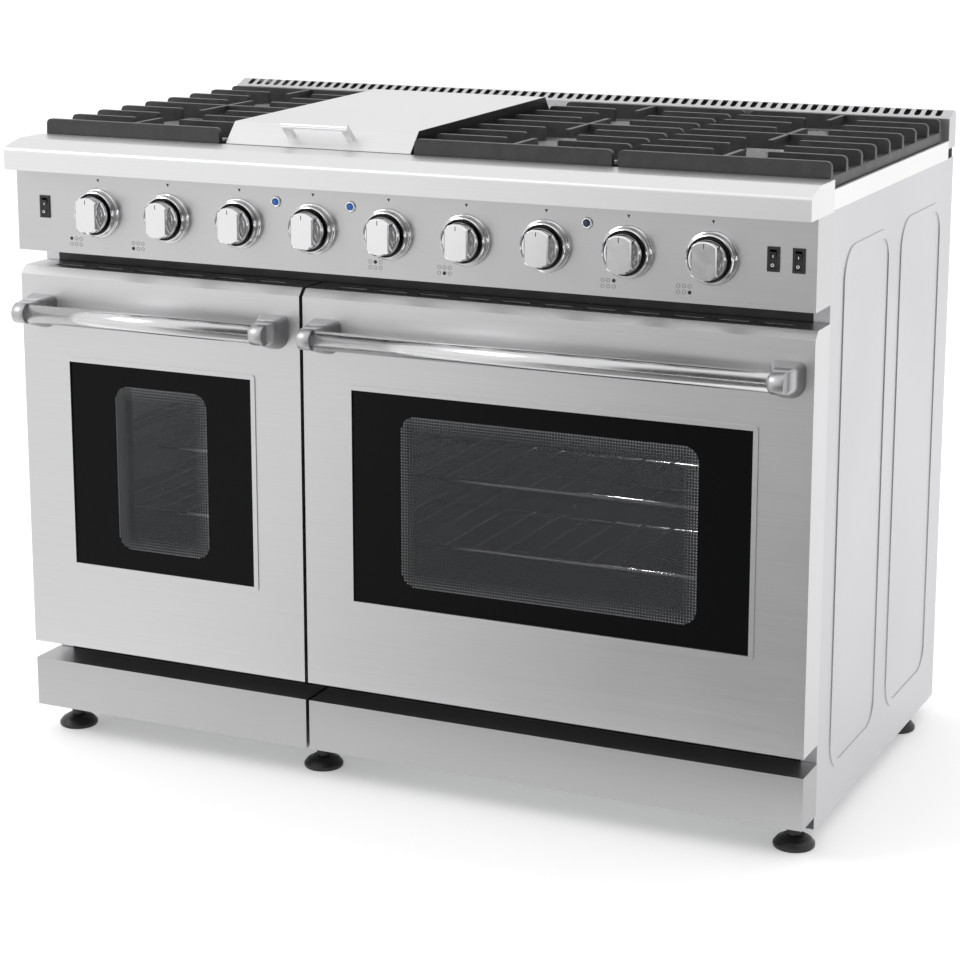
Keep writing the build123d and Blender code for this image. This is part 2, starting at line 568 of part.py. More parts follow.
def door_skin(door, glass):
    x0, x1 = door
    skin = prism_x(door_outline(0), x0, x1) - prism_x(door_outline(SHEET), x0 + SHEET, x1 - SHEET)
    rim = (glass[0] - GLASS_RIM, glass[1] + GLASS_RIM)
    rim_z = (GLASS_Z0 - GLASS_RIM, GLASS_Z1 + GLASS_RIM)
    skin += plate(rim, rim_z, DOOR_FRONT - RIM_PROUD, DOOR_FRONT + SHEET / 2, 6)
    skin -= slab(glass[0], glass[1], DOOR_FRONT - 9, DOOR_FRONT + SHEET + 1, GLASS_Z0, GLASS_Z1)
    count = int((x1 - x0 - 60) / 62)
    step = (x1 - x0 - 60) / count
    cuts = []
    for i in range(count):
        x = x0 + 30 + (i + 0.5) * step
        cuts.append(slab(x - 22, x + 22, DOOR_FRONT + 26, DOOR_FRONT + 38, DOOR_Z1 - 9, DOOR_Z1 + 9))
    half_t = HINGE_ARM_T / 2 + HINGE_SIDE
    for x in door_hinges_of(door):
        cuts.append(slab(x - half_t, x + half_t, HINGE_DEPTH - 10, 99, DOOR_Z0 - 9, HINGE_Z + 12))
    return skin - cuts


def door_liner(door, glass):
    """The inner pan with its window, the hinge cheeks and the hinge pins."""
    room = SHEET + SLIP
    x0, x1 = door[0] + room, door[1] - room
    z0, z1 = DOOR_Z0 + room, DOOR_Z1 - room
    pan = slab(x0, x1, DOOR_BACK - 22, DOOR_BACK, z0, z1)
    pan -= slab(x0 + SHEET, x1 - SHEET, DOOR_BACK - 23, DOOR_BACK - SHEET, z0 + SHEET, z1 - SHEET)
    window = (glass[0] + INNER_IN_X, glass[1] - INNER_IN_X)
    window_z = (GLASS_Z0 + INNER_IN_Z, GLASS_Z1 - INNER_IN_Z)
    pan -= plate(window, window_z, DOOR_BACK - 9, DOOR_BACK + 9, 20)
    half_t = HINGE_ARM_T / 2 + HINGE_SIDE
    pieces = []
    for x in door_hinges_of(door):
        pan -= slab(x - half_t, x + half_t, HINGE_DEPTH - 10, 99, DOOR_Z0 - 9, HINGE_Z + 12)
        for side in (-1, 1):
            face = x + side * (half_t + CHEEK_T / 2)
            pan += slab(face - CHEEK_T / 2, face + CHEEK_T / 2, HINGE_DEPTH - 9, DOOR_BACK - SHEET / 2,
                        z0, HINGE_Z + 16)
        reach = half_t + CHEEK_T
        pin = rod_x(x - reach, x + reach, HINGE_DEPTH, HINGE_Z, HINGE_PIN_R)
        pan -= pin
        pieces.append(pin)
    return group([pan] + pieces)


def door_glass(glass):
    """The outer pane behind the skin and the inner pane on the liner."""
    lap = GLASS_LAP
    outer = slab(glass[0] - lap, glass[1] + lap, DOOR_FRONT + SHEET, DOOR_FRONT + SHEET + GLASS_T,
                 GLASS_Z0 - lap, GLASS_Z1 + lap)
    in_x = INNER_IN_X - lap
    in_z = INNER_IN_Z - lap
    inner = slab(glass[0] + in_x, glass[1] - in_x, DOOR_BACK - SHEET - GLASS_T, DOOR_BACK - SHEET,
                 GLASS_Z0 + in_z, GLASS_Z1 - in_z)
    return group([outer, inner])


def handle_bracket(x, side):
    """A collar around the bar's end on a wedge that widens to the door; side is -1 at the left end."""
    centre = x + side * COLLAR_LONG / -2
    base = Pos(centre, DOOR_FRONT, HANDLE_Z + BRACKET_RISE / 2) * Rot(90, 0, 0)
    base *= RectangleRounded(COLLAR_LONG + 10, 2 * COLLAR_R + BRACKET_RISE, 14)
    neck = Pos(centre, HANDLE_Y + 4, HANDLE_Z) * Rot(90, 0, 0)
    neck *= RectangleRounded(COLLAR_LONG - 2, 2 * COLLAR_R - 5, 6)
    bracket = loft([base, neck])
    bracket += rod_x(centre - COLLAR_LONG / 2, centre + COLLAR_LONG / 2, HANDLE_Y, HANDLE_Z, COLLAR_R)
    mouth = x - side * COLLAR_LONG
    floor = x - side * (COLLAR_LONG - SOCKET_DEEP)
    return bracket - rod_x(min(mouth, floor), max(mouth, floor), HANDLE_Y, HANDLE_Z, HANDLE_R)


def door_handle(span):
    socket = COLLAR_LONG - SOCKET_DEEP
    bar = rod_x(span[0] + socket, span[1] - socket, HANDLE_Y, HANDLE_Z, HANDLE_R)
    bar -= rod_x(span[0], span[1], HANDLE_Y, HANDLE_Z, HANDLE_R - HANDLE_WALL)
    return group([bar, handle_bracket(span[0], -1), handle_bracket(span[1], 1)])


# ---- Ovens ----

def oven_liner(cavity, fan_x=None):
    """A five-sided box with a flanged mouth and the runners that the racks slide on."""
    t = SHEET
    x0, x1 = cavity
    box = slab(x0 - t, x1 + t, FACE_BACK, CAVITY_BACK + t, CAVITY_Z0 - t, CAVITY_Z1 + t)
    box += slab(x0 - LIP, x1 + LIP, FACE_BACK, FACE_BACK + t, CAVITY_Z0 - LIP, CAVITY_Z1 + LIP)
    box -= slab(x0, x1, FACE_BACK - 1, CAVITY_BACK, CAVITY_Z0, CAVITY_Z1)
    if fan_x is not None:
        box -= rod_y(fan_x, CAVITY_BACK - 1, CAVITY_BACK + t + 1, FAN_Z, SHAFT_R + 3)
    runners = []
    for z in RACK_Z:
        level = z - RACK_FRAME_R - FIT - RUNNER_R
        for x in (x0 + RUNNER_R, x1 - RUNNER_R):
            runners.append(rod_y(x, RACK_FRONT - 20, CAVITY_BACK, level, RUNNER_R))
    return group([box] + runners)


def oven_rack(cavity, z):
    """A welded wire shelf: a stout frame, a middle bar and front-to-back wires."""
    x0 = cavity[0] + SIDE_ROOM + RACK_FRAME_R
    x1 = cavity[1] - SIDE_ROOM - RACK_FRAME_R
    back = RACK_BACK
    r = RACK_FRAME_R
    parts = [rod_y(x, RACK_FRONT, back, z, r) for x in (x0, x1)]
    parts += [Pos(x, y, z) * Sphere(r) for x in (x0, x1) for y in (RACK_FRONT, back)]
    parts += [rod_x(x0, x1, y, z, r) for y in (RACK_FRONT, (RACK_FRONT + back) / 2, back)]
    count = round((x1 - x0) / RACK_PITCH)
    for i in range(1, count):
        x = x0 + i * (x1 - x0) / count
        parts.append(rod_y(x, RACK_FRONT, back, z + r - 0.6, RACK_WIRE_R))
    return Part() + parts


def fan_housing(x):
    """The motor behind the oven's rear wall and the slotted cover in front of the blades."""
    rear = CAVITY_BACK + SHEET
    motor = rod_y(x, rear, rear + MOTOR_LONG, FAN_Z, MOTOR_R)
    motor -= rod_y(x, rear - 1, rear + MOTOR_LONG - 6, FAN_Z, SHAFT_R + RUNNING)
    front = CAVITY_BACK - FAN_COVER_DEEP
    cover = rod_y(x, front, CAVITY_BACK, FAN_Z, FAN_COVER_R)
    cover -= rod_y(x, front + SHEET, CAVITY_BACK + 1, FAN_Z, FAN_COVER_R - SHEET)
    slots = []
    for ring, count in ((45, 10), (75, 16)):
        for i in range(count):
            slot = slab(ring - 12, ring + 12, front - 5, front + 5, -2.5, 2.5)
            slots.append(Pos(x, 0, FAN_Z) * Rot(0, i * 360 / count, 0) * slot)
    vents = [Pos(x, 0, FAN_Z) * Rot(0, i * 30, 0) * slab(FAN_COVER_R - 9, FAN_COVER_R + 9, front + 14, front + 30,
                                                          -15, 15) for i in range(12)]
    return group([motor, cover - slots - vents])


def fan_blade(x):
    """The shaft, its hub and the blades."""
    hub_back = CAVITY_BACK - 8
    wheel = rod_y(x, hub_back - 20, CAVITY_BACK + SHEET + MOTOR_LONG - 8, FAN_Z, SHAFT_R)
    wheel += rod_y(x, hub_back - 20, hub_back, FAN_Z, 16)
    disc = rod_y(x, hub_back - 2, hub_back, FAN_Z, FAN_R - 10)
    blades = []
    for i in range(FAN_BLADES):
        blade = slab(14, FAN_R, hub_back - 20, hub_back, -1, 1)
        blades.append(Pos(x, 0, FAN_Z) * Rot(0, i * 360 / FAN_BLADES, 0) * blade)
    return wheel + disc + blades


def tube_burners():
    """A bake burner under each oven floor, a broil burner under each roof and the griddle's burner."""
    pieces = []
    rear = CAVITY_BACK + SHEET
    for x0, x1 in (LEFT_CAVITY, RIGHT_CAVITY):
        middle = (x0 + x1) / 2
        bake_z = CAVITY_Z0 - SHEET - 22
        pieces.append(rod_y(middle, FACE_BACK + 45, rear - 40, bake_z, 14))
        pieces[-1] += [slab(middle - 5, middle + 5, y, y + 6, bake_z, CAVITY_Z0 - SHEET)
                       for y in (FACE_BACK + 70, rear - 60)]
        broil = slab(middle - 60, middle + 60, FACE_BACK + 90, CAVITY_BACK, CAVITY_Z1 - 26, CAVITY_Z1 - 8)
        broil -= slab(middle - 42, middle + 42, FACE_BACK + 108, CAVITY_BACK - 60, CAVITY_Z1 - 30, CAVITY_Z1)
        pieces.append(broil)
    x = COLUMNS[1]
    z = PAN_Z - 14
    front, back = GRATE_FRONT + TUBE_FRONT, COVER_REAR - TUBE_REAR
    griddle = Part() + [rod_y(x + side * TUBE_APART, front, back, z, 9) for side in (-1, 1)]
    griddle += [rod_x(x - TUBE_APART, x + TUBE_APART, y, z, 6) for y in (front + TUBE_CROSS, back - TUBE_CROSS)]
    places = (front + HANGER_IN, back - HANGER_IN)
    reach = GRIDDLE_MOUTH + 2.75 + HANGER_T
    arms = [slab(x - reach, x + reach, y, y + 8, z - 2, z + 2) for y in places]
    ends = ((x - reach, x - reach + HANGER_T), (x + reach - HANGER_T, x + reach))
    hangers = [slab(x0, x1, y, y + 8, z - 2, PAN_Z - SHEET) for x0, x1 in ends for y in places]
    pieces.append(griddle + arms + hangers)
    return group(pieces)


# ---- Cooktop ----

def cooktop_pan():
    """The recessed pan, the trim along each side and the deck behind the griddle."""
    t = SHEET
    reach = HALF - 2 * t - SLIP
    pan = slab(-reach, reach, BODY_FRONT, GUARD_FRONT, PAN_Z - t, PAN_Z)
    pan += slab(-reach, reach, BODY_FRONT, BODY_FRONT + t, PAN_Z - t, DECK_Z - t)
    pan += [slab(side, side + t, BODY_FRONT, GUARD_FRONT, PAN_Z - t, TRIM_Z1 - t) for side in (-reach, reach - t)]
    half = GRIDDLE_MOUTH
    pan -= slab(COLUMNS[1] - half, COLUMNS[1] + half, GRATE_FRONT + 25, COVER_REAR, PAN_Z - 9, PAN_Z + 1)
    pan -= [rod_z(x, y, PAN_Z - 9, PAN_Z + 9, THROAT_R + SLIP) for x in BURNER_COLUMNS for y in BURNER_Y]
    trim = slab(HALF - t, HALF, BODY_FRONT, GUARD_FRONT, SIDE_Z1 + SLIP, TRIM_Z1)
    trim += slab(HALF - 3 * t, HALF, BODY_FRONT, GUARD_FRONT, TRIM_Z1 - t, TRIM_Z1)
    trim += slab(HALF - FLANGE, HALF, BODY_FRONT, GUARD_FRONT, SIDE_Z1 + SLIP, SIDE_Z1 + SLIP + t)
    half = GRATE_WIDE / 2
    front = COVER_REAR + COVER_SLOPE + 3
    deck = slab(COLUMNS[1] - half, COLUMNS[1] + half, front, GUARD_FRONT, DECK_Z - 6, DECK_Z - 4)
    deck += slab(COLUMNS[1] - half, COLUMNS[1] + half, front, front + 2, PAN_Z, DECK_Z - 4)
    return group([pan, deck] + mirrored([trim]))


def rear_guard():
    """The vent rail along the back with one row of slots."""
    t = SHEET
    top = [(GUARD_FRONT, GUARD_Z0), (BACK - 12, GUARD_Z1), (BACK - 5, GUARD_Z1 - 1.5), (BACK - 1.4, GUARD_Z1 - 5.5),
           (BACK, GUARD_Z1 - 11)]
    outer = [(GUARD_FRONT, PAN_Z)] + top + [(BACK, PAN_Z)]
    inner = [(GUARD_FRONT + t, PAN_Z - 1), (GUARD_FRONT + t, GUARD_Z0 - t + 0.5), (BACK - 12, GUARD_Z1 - t),
             (BACK - 5, GUARD_Z1 - 1.5 - t), (BACK - 1.2 - t, GUARD_Z1 - 6.4), (BACK - t, GUARD_Z1 - 12),
             (BACK - t, PAN_Z - 1)]
    guard = prism_x(outer, -HALF, HALF) - prism_x(inner, -HALF + t, HALF - t)
    count = int((WIDTH - 24) / SLOT_PITCH)
    middle = (GUARD_FRONT + BACK) / 2 - 2
    slots = []
    for i in range(count):
        x = (i - (count - 1) / 2) * SLOT_PITCH
        slot = SlotOverall(SLOT_LONG, SLOT_WIDE, rotation=90)
        slots.append(extrude(Pos(x, middle, GUARD_Z0 - 12) * slot, amount=40))
    return guard - slots


def burner_head(x, y):
    """A flared head with flame ports around its rim and a throat through the pan."""
    r = BURNER_R
    profile = [(9, PAN_Z - 24), (THROAT_R, PAN_Z - 24), (THROAT_R, PAN_Z), (r, PAN_Z), (r, PAN_Z + 4),
               (r - 5, PAN_Z + 9), (CAP_R - 4, PAN_Z + 13), (CAP_R - 3, BURNER_Z1), (9, BURNER_Z1)]
    outline = make_face(Polyline(*[(s, 0, z) for s, z in profile], close=True))
    head = Pos(x, y, 0) * revolve(outline, Axis.Z)
    ports = []
    for i in range(PORTS):
        port = slab(CAP_R - 14, CAP_R + 4, -1.3, 1.3, BURNER_Z1 - 5, BURNER_Z1 + 1)
        ports.append(Pos(x, y, 0) * Rot(0, 0, i * 360 / PORTS) * port)
    return head - ports


def burner_cap(x, y):
    r = CAP_R
    z = BURNER_Z1
    profile = [(0, z), (r - 2, z), (r, z + 1.5), (r, z + 4), (r - 3, z + CAP_T - 1.5), (r - 8, z + CAP_T), (0, z + CAP_T)]
    outline = make_face(Polyline(*[(s, 0, h) for s, h in profile], close=True))
    return Pos(x, y, 0) * revolve(outline, Axis.Z)


def blade(x0, x1, y):
    """A cast bar across the grate with both top ends sloped off."""
    half = BLADE_T / 2
    slope = 7.0
    outline = Polyline((x0, y - half, BLADE_Z0), (x1, y - half, BLADE_Z0), (x1, y - half, GRATE_Z1 - slope),
                       (x1 - slope, y - half, GRATE_Z1), (x0 + slope, y - half, GRATE_Z1),
                       (x0, y - half, GRATE_Z1 - slope), close=True)
    return extrude(make_face(outline), amount=BLADE_T, dir=(0, 1, 0))


def grate(column):
    """A cast pan support: side rails on feet, full-length rows, fingers and centre bars."""
    x0 = column - GRATE_WIDE / 2
    x1 = column + GRATE_WIDE / 2
    half = BLADE_T / 2
    y0 = GRATE_FRONT - half
    y1 = GRATE_BACK + half
    pieces = [slab(x, x + RAIL_T, y0, y1, RAIL_Z0, RAIL_Z1) for x in (x0, x1 - RAIL_T)]
    for x in (x0, x1 - RAIL_T):
        for y in (y0, (y0 + y1 - 22) / 2, y1 - 22):
            pieces.append(slab(x, x + RAIL_T, y, y + 22, PAN_Z + FIT, RAIL_Z1))
    for row in range(GRATE_ROWS):
        y = GRATE_FRONT + row * ROW_PITCH
        if row % 4 == 0:
            pieces.append(blade(x0, x1, y))
        else:
            pieces.append(blade(x0, x0 + FINGER, y))
            pieces.append(blade(x1 - FINGER, x1, y))
    rows = [GRATE_FRONT, (GRATE_FRONT + GRATE_BACK) / 2, GRATE_BACK]
    spans = [(rows[0], rows[0] + CENTRE_BAR), (rows[1] - CENTRE_BAR, rows[1] + CENTRE_BAR),
             (rows[2] - CENTRE_BAR, rows[2])]
    for start, end in spans:
        pieces.append(slab(column - half, column + half, start, end, BURNER_Z1 + CAP_T + 4, GRATE_Z1 - 0.5))
    return Part() + pieces


def griddle_plate():
    """A thick steel plate with a raised rim on three sides and a grease trough at the front."""
    half = GRATE_WIDE / 2
    x0, x1 = COLUMNS[1] - half, COLUMNS[1] + half
    y0, y1 = COVER_FRONT, COVER_REAR + COVER_SLOPE
    z1 = COVER_Z0 - FIT
    body = slab(x0, x1, y0, y1, PLATE_Z, z1)
    body -= slab(x0 + PLATE_RIM, x1 - PLATE_RIM, y0 + PLATE_RIM, y1 - PLATE_RIM, PLATE_Z + PLATE_T, z1 + 1)
    body -= slab(x0 + PLATE_RIM, x1 - PLATE_RIM, y0 + PLATE_RIM, y0 + 46, PLATE_Z + 4, z1 + 1)
    feet = [slab(x, x + 16, y, y + 16, PAN_Z + FIT, PLATE_Z + 1) for x in (x0, x1 - 16) for y in (y0, y1 - 16)]
    return body + feet


def griddle_cover():
    """A folded lid with sloping ends and a bow handle on its front slope."""
    half = GRATE_WIDE / 2
    x0, x1 = COLUMNS[1] - half, COLUMNS[1] + half
    y0, y1 = COVER_FRONT, COVER_REAR + COVER_SLOPE
    outer = [(y0, COVER_Z0), (y0 + COVER_SLOPE, COVER_Z1), (COVER_REAR, COVER_Z2), (y1, COVER_Z0)]
    t = COVER_T
    run = t * 1.4
    inner = [(y0 + run, COVER_Z0 - 1), (y0 + COVER_SLOPE + t * 0.5, COVER_Z1 - t), (COVER_REAR - t * 0.5, COVER_Z2 - t),
             (y1 - run, COVER_Z0 - 1)]
    lid = prism_x(outer, x0, x1) - prism_x(inner, x0 + t, x1 - t)
    rise = COVER_Z1 - COVER_Z0
    length = math.hypot(rise, COVER_SLOPE)
    normal = (-rise / length, COVER_SLOPE / length)
    foot = (y0 + COVER_SLOPE / 2, COVER_Z0 + rise / 2)
    tip = (foot[0] + normal[0] * COVER_HANDLE_OUT, foot[1] + normal[1] * COVER_HANDLE_OUT)
    r = COVER_HANDLE_R
    middle = COLUMNS[1]
    reach = COVER_HANDLE / 2
    bow = rod_x(middle - reach, middle + reach, tip[0], tip[1], r)
    tilt = math.degrees(math.atan2(normal[1], -normal[0]))
    for side in (-1, 1):
        post = Box(10, COVER_HANDLE_OUT, 2 * r - 1)
        place = Pos(middle + side * (reach - 5), (foot[0] + tip[0]) / 2, (foot[1] + tip[1]) / 2)
        bow += place * Rot(-tilt, 0, 0) * post
    return group([lid, bow])


# ---- Writing the pieces ----

def save(name, shape):
    """One STEP file per node, about the middle of the footprint."""
    solids = [Pos(0, -MIDDLE_Y, 0) * solid for solid in shape.solids()]
    shape = solids[0] if len(solids) == 1 else Compound(solids)
    export_step(shape, f"parts/{name}.step")
    print(name, len(solids))


def main():
    os.makedirs("parts", exist_ok=True)
    save("side_panels", group(mirrored([side_panel()])))
    save("back_panel", back_panel())
    save("base_frame", base_frame())
    save("levelling_feet", group([levelling_foot(x, y) for x in FOOT_X for y in FOOT_Y]))
    save("kick_panels", group([kick_panel(*LEFT_DOOR, True), kick_panel(*RIGHT_DOOR, False)]))
    save("front_frame", front_frame())
    save("door_hinges", group([hinge_arm(x) for x in hinge_places()]))
    save("bullnose_rail", bullnose_rail())
    save("control_panel", control_panel())
    save("knob_bezels", group([knob_bezel(x) for x in KNOB_X]))
    save("gas_manifold", group([gas_manifold()] + [gas_valve(x) for x in KNOB_X]))
    save("indicator_lamps", group([indicator_lamp(x) for x in LAMP_X]))
    save("electrical_housings", group([power_inlet()] + [switch_housing(x) for x in SWITCH_X]))
    for name, x in zip(("rocker_light_left", "rocker_light_right", "rocker_fan"), SWITCH_X):
        save(name, rocker(x))
    for i, x in enumerate(KNOB_X, 1):
        save(f"knob_{i}", knob(x))
        save(f"valve_stem_{i}", valve_stem(x))
    doors = (("left", LEFT_DOOR, LEFT_GLASS, LEFT_HANDLE), ("right", RIGHT_DOOR, RIGHT_GLASS, RIGHT_HANDLE))
    for side, door, glass, handle in doors:
        save(f"door_{side}_skin", door_skin(door, glass))
        save(f"door_{side}_liner", door_liner(door, glass))
        save(f"door_{side}_glass", door_glass(glass))
        save(f"door_{side}_handle", door_handle(handle))
    fan_x = sum(RIGHT_CAVITY) / 2
    save("oven_left_liner", oven_liner(LEFT_CAVITY))
    save("oven_right_liner", oven_liner(RIGHT_CAVITY, fan_x))
    for side, cavity in (("left", LEFT_CAVITY), ("right", RIGHT_CAVITY)):
        for level, z in zip(("lower", "upper"), RACK_Z):
            save(f"rack_{side}_{level}", oven_rack(cavity, z))
    save("fan_housing", fan_housing(fan_x))
    save("fan_blade", fan_blade(fan_x))
    save("tube_burners", tube_burners())
    save("cooktop_pan", cooktop_pan())
    save("rear_guard", rear_guard())
    burners = [(x, y) for x in BURNER_COLUMNS for y in BURNER_Y]
    save("burner_heads", group([burner_head(x, y) for x, y in burners]))
    save("burner_caps", group([burner_cap(x, y) for x, y in burners]))
    for name, column in zip(("left", "middle", "right"), BURNER_COLUMNS):
        save(f"grate_{name}", grate(column))
    save("griddle_plate", griddle_plate())
    save("griddle_cover", griddle_cover())


main()
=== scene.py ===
import math

import bmesh
import bpy
from mathutils import Matrix, Vector

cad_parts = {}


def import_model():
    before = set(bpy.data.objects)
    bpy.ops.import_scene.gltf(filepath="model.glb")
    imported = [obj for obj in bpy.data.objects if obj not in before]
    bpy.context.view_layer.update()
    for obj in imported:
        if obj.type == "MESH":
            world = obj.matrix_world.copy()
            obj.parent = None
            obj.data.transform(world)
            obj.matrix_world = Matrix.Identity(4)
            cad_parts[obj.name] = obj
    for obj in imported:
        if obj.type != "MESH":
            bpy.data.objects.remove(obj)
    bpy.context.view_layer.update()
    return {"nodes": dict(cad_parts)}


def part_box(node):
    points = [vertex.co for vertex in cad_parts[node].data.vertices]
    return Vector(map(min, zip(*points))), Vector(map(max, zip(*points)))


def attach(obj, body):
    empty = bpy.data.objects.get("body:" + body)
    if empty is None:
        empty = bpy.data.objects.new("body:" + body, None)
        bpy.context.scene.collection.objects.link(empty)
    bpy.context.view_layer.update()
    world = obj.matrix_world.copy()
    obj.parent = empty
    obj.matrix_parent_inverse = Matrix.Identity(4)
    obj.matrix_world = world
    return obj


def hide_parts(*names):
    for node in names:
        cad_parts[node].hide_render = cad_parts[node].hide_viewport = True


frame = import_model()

NODES = frame["nodes"]
MM = 0.001
SKIN = 0.00025            # how far a printed mark or a thin lining stands off its surface


# ---- Materials ----

def principled(name, color, metallic=0.0, roughness=0.5):
    """A material with one Principled shader, and its tree and shader for adding nodes."""
    material = bpy.data.materials.new(name)
    material.use_nodes = True
    tree = material.node_tree
    shader = tree.nodes["Principled BSDF"]
    shader.inputs["Base Color"].default_value = (*color, 1)
    shader.inputs["Metallic"].default_value = metallic
    shader.inputs["Roughness"].default_value = roughness
    return material, tree, shader


def noise(tree, scale, stretch=(1, 1, 1), detail=3.0, rough=0.55):
    """A noise texture in the object's own coordinates; returns its value socket."""
    coords = tree.nodes.new("ShaderNodeTexCoord")
    mapping = tree.nodes.new("ShaderNodeMapping")
    mapping.inputs["Scale"].default_value = stretch
    texture = tree.nodes.new("ShaderNodeTexNoise")
    texture.inputs["Scale"].default_value = scale
    texture.inputs["Detail"].default_value = detail
    texture.inputs["Roughness"].default_value = rough
    tree.links.new(coords.outputs["Object"], mapping.inputs["Vector"])
    tree.links.new(mapping.outputs["Vector"], texture.inputs["Vector"])
    return texture.outputs["Fac"]


def spread(tree, value, low, high):
    """Maps the middle of a noise onto the range from low to high."""
    ranged = tree.nodes.new("ShaderNodeMapRange")
    ranged.inputs["From Min"].default_value = 0.3
    ranged.inputs["From Max"].default_value = 0.7
    ranged.inputs["To Min"].default_value = low
    ranged.inputs["To Max"].default_value = high
    tree.links.new(value, ranged.inputs["Value"])
    return ranged.outputs["Result"]


def tint(tree, value, dark, light):
    """A colour between dark and light that follows a noise."""
    ramp = tree.nodes.new("ShaderNodeValToRGB")
    ramp.color_ramp.elements[0].position = 0.3
    ramp.color_ramp.elements[0].color = (*dark, 1)
    ramp.color_ramp.elements[1].position = 0.7
    ramp.color_ramp.elements[1].color = (*light, 1)
    tree.links.new(value, ramp.inputs["Fac"])
    return ramp.outputs["Color"]


def bump(tree, shader, value, strength, distance):
    node = tree.nodes.new("ShaderNodeBump")
    node.inputs["Strength"].default_value = strength
    node.inputs["Distance"].default_value = distance
    tree.links.new(value, node.inputs["Height"])
    tree.links.new(node.outputs["Normal"], shader.inputs["Normal"])


def shade(color, factor):
    return tuple(min(1.0, c * factor) for c in color)


def brushed(name, color, roughness, grain, contrast=0.05, depth=0.00003):
    """Sheet steel with fine parallel scratches; grain stretches the noise along X, Y and Z."""
    material, tree, shader = principled(name, color, 1.0, roughness)
    lines = noise(tree, 1.0, grain, 4.0, 0.65)
    cloud = noise(tree, 3.2, (1, 1, 1), 2.0)
    tree.links.new(tint(tree, lines, shade(color, 1 - contrast), shade(color, 1 + contrast)),
                   shader.inputs["Base Color"])
    add = tree.nodes.new("ShaderNodeMath")
    add.operation = "ADD"
    tree.links.new(spread(tree, lines, roughness * 0.88, roughness * 1.12), add.inputs[0])
    tree.links.new(spread(tree, cloud, -0.035, 0.035), add.inputs[1])
    tree.links.new(add.outputs["Value"], shader.inputs["Roughness"])
    bump(tree, shader, lines, 0.12, depth)
    return material


def polished(name, color, roughness):
    """Plated or polished metal with a faint haze."""
    material, tree, shader = principled(name, color, 1.0, roughness)
    haze = noise(tree, 60.0, (1, 1, 1), 2.0)
    tree.links.new(spread(tree, haze, roughness * 0.75, roughness * 1.3), shader.inputs["Roughness"])
    return material


def textured(name, color, roughness, scale, variation, strength, distance, metallic=0.0, specular=0.5):
    """A grainy surface, such as cast iron or moulded plastic."""
    material, tree, shader = principled(name, color, metallic, roughness)
    shader.inputs["Specular IOR Level"].default_value = specular
    grain = noise(tree, scale, (1, 1, 1), 5.0, 0.6)
    patch = noise(tree, scale / 24, (1, 1, 1), 3.0)
    tree.links.new(tint(tree, patch, shade(color, 1 - variation), shade(color, 1 + variation)),
                   shader.inputs["Base Color"])
    tree.links.new(spread(tree, patch, roughness * 0.9, min(1.0, roughness * 1.12)), shader.inputs["Roughness"])
    bump(tree, shader, grain, strength, distance)
    return material


def enamel(name, color, fleck, roughness):
    """Vitreous enamel with pale flecks."""
    material, tree, shader = principled(name, color, 0.0, roughness)
    spots = noise(tree, 1100.0, (1, 1, 1), 1.0)
    ramp = tree.nodes.new("ShaderNodeValToRGB")
    ramp.color_ramp.elements[0].position = 0.66
    ramp.color_ramp.elements[0].color = (*color, 1)
    ramp.color_ramp.elements[1].position = 0.72
    ramp.color_ramp.elements[1].color = (*fleck, 1)
    tree.links.new(spots, ramp.inputs["Fac"])
    tree.links.new(ramp.outputs["Color"], shader.inputs["Base Color"])
    bump(tree, shader, noise(tree, 90.0), 0.06, 0.0004)
    return material


def glass(name, color, alpha, specular):
    material, tree, shader = principled(name, color, 0.0, 0.04)
    shader.inputs["Alpha"].default_value = alpha
    shader.inputs["Specular IOR Level"].default_value = specular
    haze = noise(tree, 14.0)
    tree.links.new(spread(tree, haze, 0.02, 0.06), shader.inputs["Roughness"])
    return material


def glowing(name, color, light, strength):
    material, tree, shader = principled(name, color, 0.0, 0.18)
    shader.inputs["Emission Color"].default_value = (*light, 1)
    shader.inputs["Emission Strength"].default_value = strength
    haze = noise(tree, 900.0)
    bump(tree, shader, haze, 0.1, 0.0001)
    return material


ALONG_X = (5, 900, 900)
ALONG_Y = (900, 5, 900)
ALONG_Z = (700, 700, 6)
FRONT_STEEL = brushed("front_steel", (0.65, 0.65, 0.655), 0.34, ALONG_X, 0.03, 0.00002)
# The front's steel made darker for the kick panels, as painted shade.
KICK_STEEL_PAINTED_SHADE = brushed("kick_steel_painted_shade", (0.47, 0.47, 0.475), 0.34, ALONG_X, 0.03)
# The front's steel made darker for the control panel: painted shade under the bullnose's overhang.
PANEL_STEEL_PAINTED_SHADE = brushed("panel_steel_painted_shade", (0.58, 0.58, 0.585), 0.33, ALONG_X, 0.02, 0.00001)
# The front's steel made lighter for the bullnose rail: painted light on its top.
TOP_STEEL_PAINTED_LIGHT = brushed("top_steel_painted_light", (0.79, 0.79, 0.795), 0.38, ALONG_X, 0.02, 0.00001)
# The front's steel made lighter for the griddle cover: painted light on its top.
COVER_STEEL_PAINTED_LIGHT = brushed("cover_steel_painted_light", (0.76, 0.76, 0.765), 0.36, ALONG_X, 0.03)
